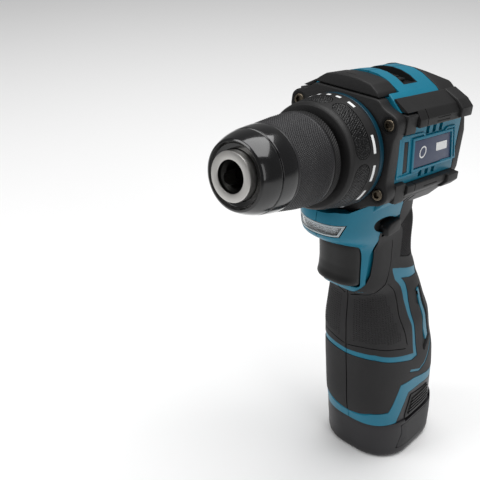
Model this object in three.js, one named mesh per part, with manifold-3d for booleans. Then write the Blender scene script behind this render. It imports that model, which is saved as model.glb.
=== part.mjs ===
// A 12 V-class cordless drill driver standing on its battery foot.
// Millimetres, +Z up, the chuck points towards -Y, +X is the drill's left side.
// The origin is the centre of the foot's flat bottom.
// The head (motor, gearbox, chuck) is drawn in its own frame: y runs along the spindle, y = 0 is
// the plane of the flange screws, z = 0 is the spindle axis. HEAD carries that frame into place.
import * as THREE from 'three';
import { mergeVertices } from 'three/addons/utils/BufferGeometryUtils.js';
import Module from 'manifold-3d';

const wasm = await Module();
wasm.setup();

// ---- driving dimensions -------------------------------------------------------------------
const GAP = 0.3;
const HEAD_TILT = THREE.MathUtils.degToRad(8.6);
const HEAD_Y = -59.7;
const HEAD_Z = 204.9;

const FOOT_HALF_X = 26.5;
const FOOT_HALF_Y = 29.6;
const FOOT_CORNER = 21.5;
const FOOT_TOP = 26.4;
const STICK_Y = -9.5;
const STICK_TOP = 88;
const CELL_PITCH = 18.7;
const CELL_RADIUS = 9.1;
const CELL_LENGTH = 65;
const CELL_BOTTOM = 9;
const STICK_WALL = 0.9;

const OVERMOLD_DEPTH = 1.2;
const SHELL_DEPTH = 3.2;

const SPINDLE_RADIUS = 4.9;
const GEAR_MODULE = 0.52;
const SUN_TEETH = 12;
const PLANET_TEETH = 18;
const RING_TEETH = 48;
const PLANET_ORBIT = (GEAR_MODULE * (SUN_TEETH + PLANET_TEETH)) / 2;
const GEAR_FRONT = -11.8;
const GEAR_REAR = -3.8;

const JAW_ANGLE = THREE.MathUtils.degToRad(16);
const JAW_TIP_Y = -74;
const JAW_TIP_RADIUS = 2.6;
const JAW_RADIUS = 2.9;
const JAW_LENGTH = 26;
const JAW_RETRACTION = 12; // how far back along its line each jaw stands, from closed

const PAD_COUNT = 5;
const PAD_FIRST = THREE.MathUtils.degToRad(46);
const PAD_HALF_LENGTH = 13.6;

const MOTOR_RADIUS = 17.5;
const MOTOR_FRONT = 14.5;
const MOTOR_REAR = 52;

const FLANGE_SCREWS = [
  { name: 'top_left', x: 25.1, z: 17.7 },
  { name: 'top_right', x: -25.1, z: 17.7 },
  { name: 'bottom_left', x: 25.1, z: -14.7 },
  { name: 'bottom_right', x: -25.1, z: -14.7 },
];
const HOUSING_SCREWS = [
  { name: 'neck', y: -21, z: 171.5, halfWidth: 19.5 },
  { name: 'grip_rear', y: -5, z: 112, halfWidth: 19.2 },
  { name: 'grip_front', y: -36.5, z: 118.5, halfWidth: 16 },
];

// Grip and neck, as level sections: height, front edge, back edge, half width, and how square the
// section is where that differs from GRIP_SQUARENESS.
const GRIP_SECTIONS = [
  { z: 26.8, front: -33.2, back: 28, half: 25.5 },
  { z: 41, front: -36.6, back: 28, half: 25.4 },
  { z: 60, front: -38.8, back: 25.5, half: 25.4 },
  { z: 79, front: -41.2, back: 19.5, half: 24.5 },
  { z: 91, front: -42.4, back: 16.4, half: 23.9 },
  { z: 102, front: -43.3, back: 11.6, half: 21.9 },
  { z: 114, front: -43.2, back: 6.2, half: 20 },
  { z: 119, front: -43.8, back: 3.8, half: 18.9 },
  { z: 122, front: -46.5, back: 2.2, half: 18.4, square: 3 },
  { z: 127, front: -53, back: -0.6, half: 18, square: 3.5 },
  { z: 134, front: -55, back: -4, half: 17.5, square: 3.6 },
  { z: 148, front: -55.4, back: -6, half: 17.7, square: 3.6 },
  { z: 154, front: -57.5, back: -6, half: 18.1, square: 3.4 },
  { z: 158, front: -64, back: -5.8, half: 18.8, square: 3 },
  { z: 161.5, front: -70.5, back: -5.5, half: 19.4, square: 2.6 },
  { z: 165, front: -74, back: -5, half: 19.9, square: 2.5 },
  { z: 169, front: -75.2, back: -4.9, half: 20.5, square: 2.4 },
  { z: 174, front: -75, back: -5, half: 21.4, square: 2.4 },
  { z: 184, front: -72.5, back: -3.6, half: 23 },
];
const GRIP_POINTS = 26;
const GRIP_SQUARENESS = 2.8;

// Half outlines (x, z) of the head, listed from the top centre down to the bottom centre.
const HEAD_OUTLINE = mirrored([
  [0, 35.2], [5, 34.8], [10, 33.4], [13.5, 31.6], [18.5, 28.9], [27, 21.5],
  [28, 17], [28, -14], [26, -20], [18, -29], [0, -32],
]);
const CAVITY_OUTLINE = mirrored([
  [0, 28.6], [12, 28.2], [16, 26.4], [21.4, 20], [22.8, 16], [22.8, -13], [21.4, -17], [15, -24.5],
  [0, -28],
]);
const FLANGE_OUTLINE = mirrored([
  [0, 27.6], [17.5, 27.6], [21, 24.2], [27.4, 22.2], [29.7, 19.8], [29.7, 15], [28.6, 11], [28.6, -9],
  [30.2, -12], [30.2, -16.4], [27.5, -19.6], [21, -21.5], [14, -26.4], [0, -28],
]);
const REAR_OUTLINE = mirrored([
  [0, 27.8], [9, 27], [16, 24.2], [22, 19.8], [26.6, 14.4], [28, 7], [28, -12], [26, -20],
  [18, -27.5], [0, -30],
]);
const SHROUD_OUTLINE = mirrored([
  [0, 34.4], [6, 34.1], [12, 33], [16.5, 29.8], [17.4, 27.9], [0, 27.9],
]);
// Side outlines (y, z) of the battery's raised back and sides, and of the latch in them.
const EAR_OUTLINE = [
  [-20.5, 22], [-18.8, 29.2], [-15.8, 37.5], [-12, 45.4], [-1, 44.9], [12, 42.4], [40, 37], [40, 22],
];
const LATCH_OUTLINE = [[-13.4, 27.4], [-13, 31], [-9.6, 42.6], [10, 39.8], [12.8, 27.4]];
const LATCH_TRAVEL = 2.3;
const LABEL_OUTLINE = [[17.5, 8.4], [51, 8.4], [55.6, -5.4], [20.4, -5.4]];

const CHARCOAL = 0x2b2b2d;
const BLACK = 0x141416;
const TEAL = 0x0f7f97;
const STEEL = 0x9a9ca0;
const BRASS = 0xb8923c;

// ---- solids --------------------------------------------------------------------------------
function mirrored(half) {
  const other = half.filter(([x]) => x > 0).map(([x, z]) => [-x, z]).reverse();
  return [...half, ...other];
}

// The outline moved outwards by a distance, each corner along its mitre.
function grown(outline, distance) {
  const corners = outline.map(([u, v]) => new THREE.Vector2(u, v));
  const turn = THREE.ShapeUtils.area(corners) > 0 ? 1 : -1;
  const normal = (from, to) => {
    const along = to.clone().sub(from).normalize();
    return new THREE.Vector2(turn * along.y, -turn * along.x);
  };
  return corners.map((corner, i) => {
    const before = normal(corners[(i + corners.length - 1) % corners.length], corner);
    const after = normal(corner, corners[(i + 1) % corners.length]);
    const mitre = before.clone().add(after).multiplyScalar(distance / (1 + before.dot(after)));
    return [corner.x + mitre.x, corner.y + mitre.y];
  });
}

function signedVolume(points, triangles) {
  let volume = 0;
  const corner = [new THREE.Vector3(), new THREE.Vector3(), new THREE.Vector3()];
  for (let i = 0; i < triangles.length; i += 3) {
    corner.forEach((v, k) => v.fromArray(points, 3 * triangles[i + k]));
    volume += corner[0].dot(corner[1].cross(corner[2])) / 6;
  }
  return volume;
}

function solid(geometry) {
  const bare = new THREE.BufferGeometry();
  bare.setAttribute('position', geometry.getAttribute('position'));
  bare.setIndex(geometry.getIndex());
  const merged = mergeVertices(bare, 1e-4);
  const points = merged.getAttribute('position').array;
  const index = merged.getIndex().array;
  const triangles = [];
  for (let i = 0; i < index.length; i += 3) {
    const [a, b, c] = [index[i], index[i + 1], index[i + 2]];
    if (a !== b && b !== c && c !== a) triangles.push(a, b, c);
  }
  if (signedVolume(points, triangles) < 0) triangles.reverse();
  const mesh = new wasm.Mesh({
    numProp: 3,
    vertProperties: new Float32Array(points),
    triVerts: new Uint32Array(triangles),
  });
  return new wasm.Manifold(mesh);
}

function geometryOf(shape) {
  const mesh = shape.getMesh();
  const geometry = new THREE.BufferGeometry();
  geometry.setAttribute('position', new THREE.BufferAttribute(new Float32Array(mesh.vertProperties), 3));
  geometry.setIndex(new THREE.BufferAttribute(new Uint32Array(mesh.triVerts), 1));
  return geometry;
}

function moved(shape, matrix) {
  return solid(geometryOf(shape).applyMatrix4(matrix));
}

function box(x0, x1, y0, y1, z0, z1) {
  const geometry = new THREE.BoxGeometry(x1 - x0, y1 - y0, z1 - z0);
  geometry.translate((x0 + x1) / 2, (y0 + y1) / 2, (z0 + z1) / 2);
  return solid(geometry);
}

// A prism whose outline lies across the named axis: x takes (y, z), y takes (x, z), z takes (x, y).
function prism(axis, outline, from, to) {
  const X = new THREE.Vector3(1, 0, 0);
  const Y = new THREE.Vector3(0, 1, 0);
  const Z = new THREE.Vector3(0, 0, 1);
  const basis = { x: [Y, Z, X], y: [X, Z, Y], z: [X, Y, Z] }[axis];
  const shape = new THREE.Shape(outline.map(([u, v]) => new THREE.Vector2(u, v)));
  const geometry = new THREE.ExtrudeGeometry(shape, { depth: to - from, bevelEnabled: false });
  geometry.translate(0, 0, from);
  geometry.applyMatrix4(new THREE.Matrix4().makeBasis(...basis));
  return solid(geometry);
}

// A solid of revolution about the y axis from a closed (radius, y) profile.
function turned(profile, segments = 24) {
  const points = [...profile, profile[0]].map(([r, y]) => new THREE.Vector2(r, y));
  return solid(new THREE.LatheGeometry(points, segments));
}

function rod(radius, from, to, segments = 20) {
  return turned([[0, from], [radius, from], [radius, to], [0, to]], segments);
}

function rodAlongX(radius, from, to, y, z) {
  const turn = new THREE.Matrix4().makeRotationZ(-Math.PI / 2);
  return moved(rod(radius, from, to, 12), turn.premultiply(new THREE.Matrix4().makeTranslation(0, y, z)));
}

function rodAlongZ(radius, from, to, x, y, segments = 24) {
  const turn = new THREE.Matrix4().makeRotationX(Math.PI / 2);
  const place = new THREE.Matrix4().makeTranslation(x, y, 0);
  return moved(rod(radius, from, to, segments), turn.premultiply(place));
}

function rodAt(radius, from, to, x, z, segments = 12) {
  return moved(rod(radius, from, to, segments), new THREE.Matrix4().makeTranslation(x, 0, z));
}

// A closed skin through rings of equal length, capped by fans.
function loft(rings) {
  const count = rings[0].length;
  const points = rings.flat();
  const triangles = [];
  for (let r = 0; r + 1 < rings.length; r += 1) {
    for (let i = 0; i < count; i += 1) {
      const j = (i + 1) % count;
      const [a, b, c, d] = [r * count + i, r * count + j, (r + 1) * count + j, (r + 1) * count + i];
      triangles.push(a, b, c, a, c, d);
    }
  }
  [[0, true], [rings.length - 1, false]].forEach(([r, first]) => {
    const centre = points.length;
    const sum = rings[r].reduce((total, p) => total.add(p), new THREE.Vector3());
    points.push(sum.divideScalar(count));
    for (let i = 0; i < count; i += 1) {
      const [a, b] = [r * count + i, r * count + ((i + 1) % count)];
      triangles.push(centre, first ? b : a, first ? a : b);
    }
  });
  const geometry = new THREE.BufferGeometry().setFromPoints(points);
  geometry.setIndex(triangles);
  return solid(geometry);
}

function gripRing({ z, front, back, half, square = GRIP_SQUARENESS }, inset) {
  const ring = [];
  const depth = (back - front) / 2 - inset;
  for (let i = 0; i < GRIP_POINTS; i += 1) {
    const turn = (2 * Math.PI * i) / GRIP_POINTS;
    const [c, s] = [Math.cos(turn), Math.sin(turn)];
    const x = (half - inset) * Math.sign(c) * Math.abs(c) ** (2 / square);
    const y = (front + back) / 2 + depth * Math.sign(s) * Math.abs(s) ** (2 / square);
    ring.push(new THREE.Vector3(x, y, z));
  }
  return ring;
}

function grip(inset) {
  return loft(GRIP_SECTIONS.map((section) => gripRing(section, inset)));
}

// The grip's outer form below the first section, carried straight down into the foot.
function gripTail() {
  const lowest = GRIP_SECTIONS[0];
  const bottom = {
    z: 22, front: lowest.front + 3, back: lowest.back - 3, half: lowest.half - 3,
  };
  return loft([bottom, ...GRIP_SECTIONS.slice(0, 3)].map((section) => gripRing(section, 0)));
}

function roundedRing(halfX, halfY, corner, centreY, z) {
  const ring = [];
  const steps = 6;
  [[1, 1], [-1, 1], [-1, -1], [1, -1]].forEach(([sx, sy], quarter) => {
    for (let i = 0; i <= steps; i += 1) {
      const turn = (Math.PI / 2) * (quarter + i / steps);
      const x = sx * (halfX - corner) + corner * Math.cos(turn);
      const y = sy * (halfY - corner) + corner * Math.sin(turn);
      ring.push(new THREE.Vector3(x, centreY + y, z));
    }
  });
  return ring;
}

function outlineRing(outline, y, scale) {
  return outline.map(([x, z]) => new THREE.Vector3(x * scale, y, z * scale));
}

// A straight-flanked gear outline; angle 0 carries a tooth or, when shifted, a gap.
function gearOutline(teeth, pitchRadius, outward, shift) {
  const pitchAngle = (2 * Math.PI) / teeth;
  const tip = pitchRadius + outward * 0.75 * GEAR_MODULE;
  const root = pitchRadius - outward * 1.1 * GEAR_MODULE;
  const outline = [];
  for (let i = 0; i < teeth; i += 1) {
    const centre = (i + shift) * pitchAngle;
    [[root, -0.26], [tip, -0.12], [tip, 0.12], [root, 0.26]].forEach(([r, part]) => {
      const angle = centre + part * pitchAngle;
      outline.push([r * Math.sin(angle), r * Math.cos(angle)]);
    });
  }
  return outline;
}

// ---- the part list ---------------------------------------------------------------------------
const drill = new THREE.Group();
drill.name = 'cordless_drill';
const HEAD = new THREE.Matrix4()
  .makeTranslation(0, HEAD_Y, HEAD_Z)
  .multiply(new THREE.Matrix4().makeRotationX(-HEAD_TILT));

function inHead(shape) {
  return moved(shape, HEAD);
}

function add(name, shape, color, metalness = 0, roughness = 0.6) {
  const geometry = geometryOf(shape).toNonIndexed();
  geometry.computeVertexNormals();
  const mesh = new THREE.Mesh(geometry, new THREE.MeshStandardMaterial({ color, metalness, roughness }));
  mesh.name = name;
  drill.add(mesh);
}

// ---- chuck -----------------------------------------------------------------------------------
function jawLine(third) {
  const lean = new THREE.Matrix4().makeRotationX(JAW_ANGLE);
  const place = new THREE.Matrix4().makeTranslation(0, JAW_TIP_Y, JAW_TIP_RADIUS);
  const around = new THREE.Matrix4().makeRotationY((third * 2 * Math.PI) / 3);
  return around.multiply(place).multiply(lean);
}

function chuckBody() {
  let body = turned([
    [7, -75], [10.7, -75], [10.7, -63.2], [14, -61.2], [14, -28.2], [5.2, -28.2], [5.2, -25.4], [4.6, -25.4],
    [4.6, -40], [5.6, -42], [5.6, -71], [7, -73],
  ], 30);
  for (let third = 0; third < 3; third += 1) {
    const slot = moved(rod(JAW_RADIUS + GAP, -3, 47, 12), jawLine(third));
    body = body.subtract(slot.intersect(turned([[0, -74.5], [30, -74.5], [30, -31], [0, -31]], 12)));
  }
  return body;
}

function jaw(third) {
  const bar = moved(rod(JAW_RADIUS, -1, JAW_LENGTH, 12), jawLine(third));
  const back = new THREE.Vector3(0, JAW_RETRACTION, 0).transformDirection(jawLine(third));
  back.multiplyScalar(JAW_RETRACTION);
  const reach = 12;
  const wedgeSide = reach * Math.tan(Math.PI / 3);
  const wedge = prism('y', [[0, 0.45], [wedgeSide, reach + 0.45], [-wedgeSide, reach + 0.45]], -73.8, -40);
  const around = new THREE.Matrix4().makeRotationY((third * 2 * Math.PI) / 3);
  const closed = bar.intersect(moved(wedge, around));
  return moved(closed, new THREE.Matrix4().makeTranslation(back.x, back.y, back.z));
}

function chuckFrontCap() {
  return turned([
    [11, -71], [13.2, -71], [14.1, -72.7], [15.2, -72.2], [17.2, -67.5], [18.2, -63.4],
    [19.1, -54.85], [14.4, -54.85], [14.4, -61.8], [11, -63.8],
  ], 32);
}

function chuckGripSleeve() {
  return turned([
    [17.9, -54.55], [19.1, -54.55], [20.5, -42], [21.1, -33.2], [20.7, -32.2],
    [18.9, -32.2], [18.9, -45.5], [17.9, -46.5],
  ], 32);
}

// ---- gearbox -----------------------------------------------------------------------------------
function outputSpindle() {
  let spindle = turned([
    [0, -39], [4.3, -39], [4.3, -25], [SPINDLE_RADIUS, -25], [SPINDLE_RADIUS, -16.2],
    [11.4, -15], [11.4, -12.6], [0, -12.6],
  ], 28);
  for (let third = 0; third < 3; third += 1) {
    const angle = (third * 2 * Math.PI) / 3;
    const pin = rodAt(1.6, -13, -3, PLANET_ORBIT * Math.sin(angle), PLANET_ORBIT * Math.cos(angle), 16);
    spindle = spindle.add(pin);
  }
  return spindle;
}

function planetGear(third) {
  const angle = (third * 2 * Math.PI) / 3;
  const outline = gearOutline(PLANET_TEETH, (GEAR_MODULE * PLANET_TEETH) / 2, 1, 0.5);
  const gear = prism('y', outline, GEAR_FRONT, GEAR_REAR).subtract(rod(1.85, -20, 0, 20));
  const turn = new THREE.Matrix4().makeRotationY(angle);
  const shift = new THREE.Matrix4().makeTranslation(
    PLANET_ORBIT * Math.sin(angle), 0, PLANET_ORBIT * Math.cos(angle),
  );
  return moved(gear, shift.multiply(turn));
}

function ringGear() {
  const bore = prism('y', gearOutline(RING_TEETH, (GEAR_MODULE * RING_TEETH) / 2, -1, 0), -20, 0);
  return rod(15.2, GEAR_FRONT - 0.3, GEAR_REAR + 0.5, 32).subtract(bore);
}

function motorRotor() {
  const sun = prism('y', gearOutline(SUN_TEETH, (GEAR_MODULE * SUN_TEETH) / 2, 1, 0), GEAR_FRONT, GEAR_REAR);
  const shaft = turned([
    [0, -4.5], [1.6, -4.5], [1.6, 18], [12.6, 18], [12.6, 48], [1.6, 48], [1.6, 63], [0, 63],
  ], 20);
  return sun.add(shaft);
}

function motorFan() {
  let fan = turned([[1.6, 55.6], [3.6, 55.6], [3.6, 57], [15, 57], [15, 58.2], [1.6, 58.2]], 20);
  fan = fan.subtract(rod(1.9, 50, 60, 20));
  for (let blade = 0; blade < 9; blade += 1) {
    const turn = new THREE.Matrix4().makeRotationY((blade * 2 * Math.PI) / 9);
    fan = fan.add(moved(box(4, 14.6, 54.2, 57.4, -0.5, 0.5), turn));
  }
  return fan;
}

function gearCase() {
  let body = turned([
    [9.3, -24], [17.4, -24], [17.4, -1.8], [21, -1.8], [21, 13.6], [9, 13.6], [9, 11.6], [15.6, 11.6],
    [15.6, -15.6], [9.3, -15.6],
  ], 32);
  body = body.add(prism('y', FLANGE_OUTLINE, -2, 5.5).subtract(rod(16, -5, 8, 32)));
  FLANGE_SCREWS.forEach(({ x, z }) => {
    const side = Math.sign(x);
    const [inner, outer] = [20.8 * side, 30.2 * side].sort((a, b) => a - b);
    body = body.add(box(inner, outer, 5, 13.5, z - 4.4, z + 4.4));
  });
  FLANGE_SCREWS.forEach(({ x, z }) => {
    body = body.subtract(rodAt(3.6, -4, 0.4, x, z));
    body = body.subtract(rodAt(1.8, -1, 15, x, z));
  });
  return body;
}

function flangeScrew({ x, z }) {
  const shape = turned([[0, -2.8], [2.6, -2.8], [3, -2.4], [3, 0.1], [1.45, 0.1], [1.45, 21], [0, 21]], 12);
  const socket = turned([[0, -3], [1.5, -3], [1.5, -1.2], [0, -1.2]], 6);
  return moved(shape.subtract(socket), new THREE.Matrix4().makeTranslation(x, 0, z));
}

function torqueCollar() {
  const collar = turned([
    [18.2, -24.6], [23.2, -24.6], [24.2, -23], [26.3, -8.4], [26.5, -6.4],
    [17.8, -6.4], [17.8, -9], [21.3, -9], [21.3, -23.2], [18.2, -23.2],
  ], 36);
  return collar.subtract(collarGripRing(GAP));
}

// Five rubber pads standing on one thin band that is hidden inside the collar.
function collarGripRing(grow) {
  const [front, rear] = [-21.6 - grow, -12.4 + grow];
  let ring = turned([[22.4 - grow, front], [23 + grow, front], [23 + grow, rear], [22.4 - grow, rear]], 36);
  const pads = turned([[22.6, front], [24.6 + 2 * grow, front], [26 + 2 * grow, rear], [22.6, rear]], 36);
  const half = PAD_HALF_LENGTH + grow;
  for (let pad = 0; pad < PAD_COUNT; pad += 1) {
    const turn = new THREE.Matrix4().makeRotationY(PAD_FIRST + (2 * Math.PI * pad) / PAD_COUNT);
    ring = ring.add(pads.intersect(moved(box(-half, half, -30, 0, 0, 40), turn)));
  }
  return ring;
}

function clutchSpring() {
  const turns = 4;
  const steps = 12 * turns;
  const points = [];
  for (let i = 0; i <= steps; i += 1) {
    const angle = (2 * Math.PI * i) / 12;
    const y = -20.6 + (9.8 * i) / steps;
    points.push(new THREE.Vector3(19.3 * Math.sin(angle), y, 19.3 * Math.cos(angle)));
  }
  return springAlong(points, 0.75);
}

function springAlong(points, wire) {
  const outline = [];
  for (let i = 0; i < 5; i += 1) {
    const angle = (2 * Math.PI * i) / 5;
    outline.push(new THREE.Vector2(wire * Math.cos(angle), wire * Math.sin(angle)));
  }
  const path = new THREE.CatmullRomCurve3(points);
  const settings = { steps: points.length - 1, extrudePath: path };
  return solid(new THREE.ExtrudeGeometry(new THREE.Shape(outline), settings));
}

// ---- housing -----------------------------------------------------------------------------------
function switchCavity() {
  const wall = grip(SHELL_DEPTH).intersect(box(-40, 40, -80, 40, 96, 183.9));
  return wall.subtract(inHead(rod(31, -60, 5.7, 32)));
}

function headCavity() {
  return inHead(prism('y', CAVITY_OUTLINE, 0, 60.4));
}

function batteryBore(grow) {
  const half = CELL_PITCH / 2 + CELL_RADIUS + 0.3 + STICK_WALL + grow;
  return loft([
    roundedRing(half, half, CELL_RADIUS + 1.2 + grow, STICK_Y, 20),
    roundedRing(half, half, CELL_RADIUS + 1.2 + grow, STICK_Y, STICK_TOP + 3),
  ]);
}

function overmoldRegion(grow) {
  const outline = [
    [-60, 32.4], [-34.9, 32.8], [-33, 36.8], [-26, 37.3], [-24.4, 42], [-20.3, 55.2], [-7.6, 54],
    [9.4, 48.9], [40, 42.4], [40, 180], [-33, 180], [-33, 165.5], [-31.5, 158], [-37, 156.8], [-44, 158.6],
    [-47.6, 157.8],
    [-49.8, 148], [-50.2, 134], [-49, 127.5], [-47, 124], [-43, 121.6], [-60, 120.4],
  ];
  return prism('x', grown(outline, grow), -40, 40);
}

function leverWindow() {
  return box(-30, 30, -46.6, -33.4, 159.4, 167.6);
}

function ledRegion(grow) {
  const outline = [[13.4, 172.6], [-13.4, 172.6], [-11, 166.4], [11, 166.4]];
  return prism('y', grown(outline, grow), -80, -60);
}

function screwPosts(outer) {
  let posts = null;
  HOUSING_SCREWS.forEach(({ y, z }) => {
    const post = rodAlongX(3.4, -24, 24, y, z).intersect(outer);
    posts = posts ? posts.add(post) : post;
  });
  return posts;
}

function motorRibs() {
  const rib = (y) => {
    const bore = rod(MOTOR_RADIUS + GAP + 0.2, y - 1, y + 3, 32);
    return prism('y', CAVITY_OUTLINE, y, y + 2).subtract(bore);
  };
  return inHead(rib(21).add(rib(44)));
}

// What lies above the hood's slope down to the rear cap.
function rearSlope(lift) {
  return prism('x', [[44, 35.6 + lift], [64, 28.5 + lift], [64, 60], [44, 60]], -40, 40);
}

function housingShell() {
  const gripOuter = grip(0);
  const hood = prism('y', HEAD_OUTLINE, 5.8, 60).subtract(box(-40, 40, 46.2, 70, 23.3, 50));
  const headOuter = inHead(hood.subtract(rearSlope(0)));
  const outer = gripOuter.add(headOuter).subtract(inHead(rod(28.7, -60, 5.7, 32)));
  let shell = outer.subtract(switchCavity()).subtract(headCavity()).subtract(batteryBore(0.35));
  shell = shell.add(screwPosts(gripOuter)).add(motorRibs());
  const skin = overmoldRegion(GAP).subtract(grip(OVERMOLD_DEPTH + GAP)).subtract(headOuter);
  shell = shell.subtract(skin);
  shell = shell.subtract(prism('x', grown(EAR_OUTLINE, GAP), -40, 40));

  shell = shell.subtract(inHead(prism('y', grown(FLANGE_OUTLINE, GAP), -9, 5.8)));
  shell = shell.subtract(inHead(box(-40, 40, -9, 5.8, 0, 40)));
  FLANGE_SCREWS.forEach(({ x, z }) => {
    const [near, far] = x > 0 ? [20.5, 40] : [-40, -20.5];
    shell = shell.subtract(inHead(box(near, far, 0, 13.8, z - 4.7, z + 4.7)));
    shell = shell.subtract(inHead(rodAt(1.8, 5, 22, x, z)));
  });
  shell = shell.subtract(inHead(rod(21.6, 0, 14, 32)));
  shell = shell.subtract(inHead(box(-17.9, 17.9, 0, 14.3, 27.5, 50)));
  [1, -1].forEach((side) => {
    const [near, far] = side > 0 ? [27.1, 40] : [-40, -27.1];
    shell = shell.subtract(inHead(box(near, far, 13.7, 61, 15.5, 23.5)));
    shell = shell.subtract(inHead(box(near, far, 13.7, 61, -18.3, -11.5)));
    const [plateNear, plateFar] = side > 0 ? [27.2, 40] : [-40, -27.2];
    shell = shell.subtract(inHead(prism('x', grown(LABEL_OUTLINE, GAP), plateNear, plateFar)));
    for (let vent = 0; vent < 3; vent += 1) {
      const y = 27 + 6 * vent;
      const [from, to] = side > 0 ? [18, 40] : [-40, -18];
      shell = shell.subtract(inHead(box(from, to, y, y + 3, 10.6, 14.4)));
      shell = shell.subtract(inHead(box(from, to, y, y + 3, -10.4, -7.4)));
    }
  });
  shell = shell.subtract(inHead(box(-11.4, 11.4, 23.7, 34.3, 30.8, 40)));
  shell = shell.subtract(inHead(box(-3.6, 3.6, 24.8, 33.2, 25, 40)));
  shell = shell.subtract(box(-12.7, 12.7, -90, -40, 129.9, 157));
  shell = shell.subtract(leverWindow());
  shell = shell.subtract(ledRegion(GAP));
  shell = shell.subtract(box(-10.4, 10.4, STICK_Y - 6.4, STICK_Y + 6.4, 88, 98));
  HOUSING_SCREWS.forEach(({ y, z, halfWidth }) => {
    shell = shell.subtract(rodAlongX(1.5, -halfWidth, 9, y, z));
    shell = shell.subtract(rodAlongX(2.9, -30, 2.6 - halfWidth, y, z));
  });
  return shell;
}

function overmoldSkin() {
  let skin = grip(0).subtract(grip(OVERMOLD_DEPTH)).intersect(overmoldRegion(0));
  skin = skin.subtract(inHead(prism('y', HEAD_OUTLINE.map(([x, z]) => [x * 1.02, z * 1.02]), 5.4, 62)));
  HOUSING_SCREWS.forEach(({ y, z, halfWidth }) => {
    skin = skin.subtract(rodAlongX(3, -30, 3.4 - halfWidth, y, z));
  });
  return skin.subtract(leverWindow());
}

function rail(side, upper) {
  const outlines = upper
    ? [
      [[27.5, 15.8], [31.6, 15.8], [31.6, 19.6], [29, 23.2], [21.4, 27.8], [20.8, 27.5], [27.5, 21.7]],
      [[27.5, 15.8], [33, 16.6], [33, 21.2], [29.4, 24.6], [21.6, 28.2], [20.9, 27.6], [27.5, 21.8]],
    ]
    : [
      [[27.4, -11.8], [31.2, -11.8], [31.2, -15.4], [29, -18], [27.4, -18]],
      [[27.4, -11.8], [32.6, -12.2], [32.6, -16], [29.4, -19.4], [27.4, -19.4]],
    ];
  const signed = outlines.map((outline) => outline.map(([x, z]) => [side * x, z]));
  return prism('y', signed[0], 14.1, 52).add(prism('y', signed[1], 50, 60));
}

function rearCap() {
  const dome = loft([
    outlineRing(REAR_OUTLINE, 60.3, 1), outlineRing(REAR_OUTLINE, 64.5, 1.01),
    outlineRing(REAR_OUTLINE, 68, 0.93), outlineRing(REAR_OUTLINE, 70.2, 0.76),
    outlineRing(REAR_OUTLINE, 71, 0.5),
  ]);
  const hollow = loft([
    outlineRing(CAVITY_OUTLINE, 50, 0.94), outlineRing(CAVITY_OUTLINE, 63.5, 0.94),
    outlineRing(CAVITY_OUTLINE, 67.5, 0.8), outlineRing(CAVITY_OUTLINE, 68.8, 0.5),
  ]);
  const visor = prism('y', HEAD_OUTLINE.map(([x, z]) => [x * 1.01, z * 1.01]), 46.5, 61)
    .intersect(box(-27, 27, 40, 70, 23.6, 50))
    .subtract(rearSlope(0.3));
  return dome.add(visor).subtract(hollow);
}

// ---- controls ------------------------------------------------------------------------------------
function trigger() {
  const profile = [
    [-46, 156.4], [-58, 156.4], [-60, 153], [-59.6, 147], [-59, 142], [-59.4, 137.4], [-60.4, 134],
    [-59.4, 131.6], [-50, 130.6], [-44, 130.6], [-44, 156.4],
  ];
  const plan = [
    [-12.2, -44], [-12.2, -56], [-11.2, -59], [-8.6, -60.4], [-4, -61], [4, -61], [8.6, -60.4],
    [11.2, -59], [12.2, -56], [12.2, -44],
  ];
  const blade = prism('x', profile, -13, 13).intersect(prism('z', plan, 120, 160));
  const stem = rod(3, -44.5, -28, 20);
  return blade.add(moved(stem, new THREE.Matrix4().makeTranslation(0, 0, 144)));
}

function triggerSwitch() {
  const body = box(-8.4, 8.4, -35.6, -12.5, 128, 157.8);
  const bore = turned([[0, -40], [5.6, -40], [5.6, -18], [0, -18]], 28);
  return body.subtract(moved(bore, new THREE.Matrix4().makeTranslation(0, 0, 144)));
}

function triggerSpring() {
  const points = [];
  for (let i = 0; i <= 50; i += 1) {
    const angle = (2 * Math.PI * i) / 10;
    const y = -34 + (14.6 * i) / 50;
    points.push(new THREE.Vector3(4.4 * Math.cos(angle), y, 144 + 4.4 * Math.sin(angle)));
  }
  return springAlong(points, 0.4);
}

function directionLever() {
  const bar = box(-18.4, 18.4, -46, -39, 160, 165.4);
  const paddle = (side) => {
    const [near, far] = [16.4 * side, 22 * side].sort((a, b) => a - b);
    return box(near, far, -46, -34, 159.9, 167.1);
  };
  return bar.add(paddle(1)).add(paddle(-1));
}

function speedSelector() {
  const ribs = [25.4, 27, 28.6].map((y) => box(-8, 8, y, y + 0.6, 32.6, 33.3));
  const plate = box(-11.1, 11.1, 24, 29.3, 31.1, 32.7);
  const stem = box(-3.3, 3.3, 25.1, 28.1, 26.4, 31.5);
  return ribs.reduce((shape, rib) => shape.add(rib), plate.add(stem));
}

// ---- battery -------------------------------------------------------------------------------------
function cellPlaces() {
  const half = CELL_PITCH / 2;
  return [[half, -half], [-half, -half], [half, half], [-half, half]];
}

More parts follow.
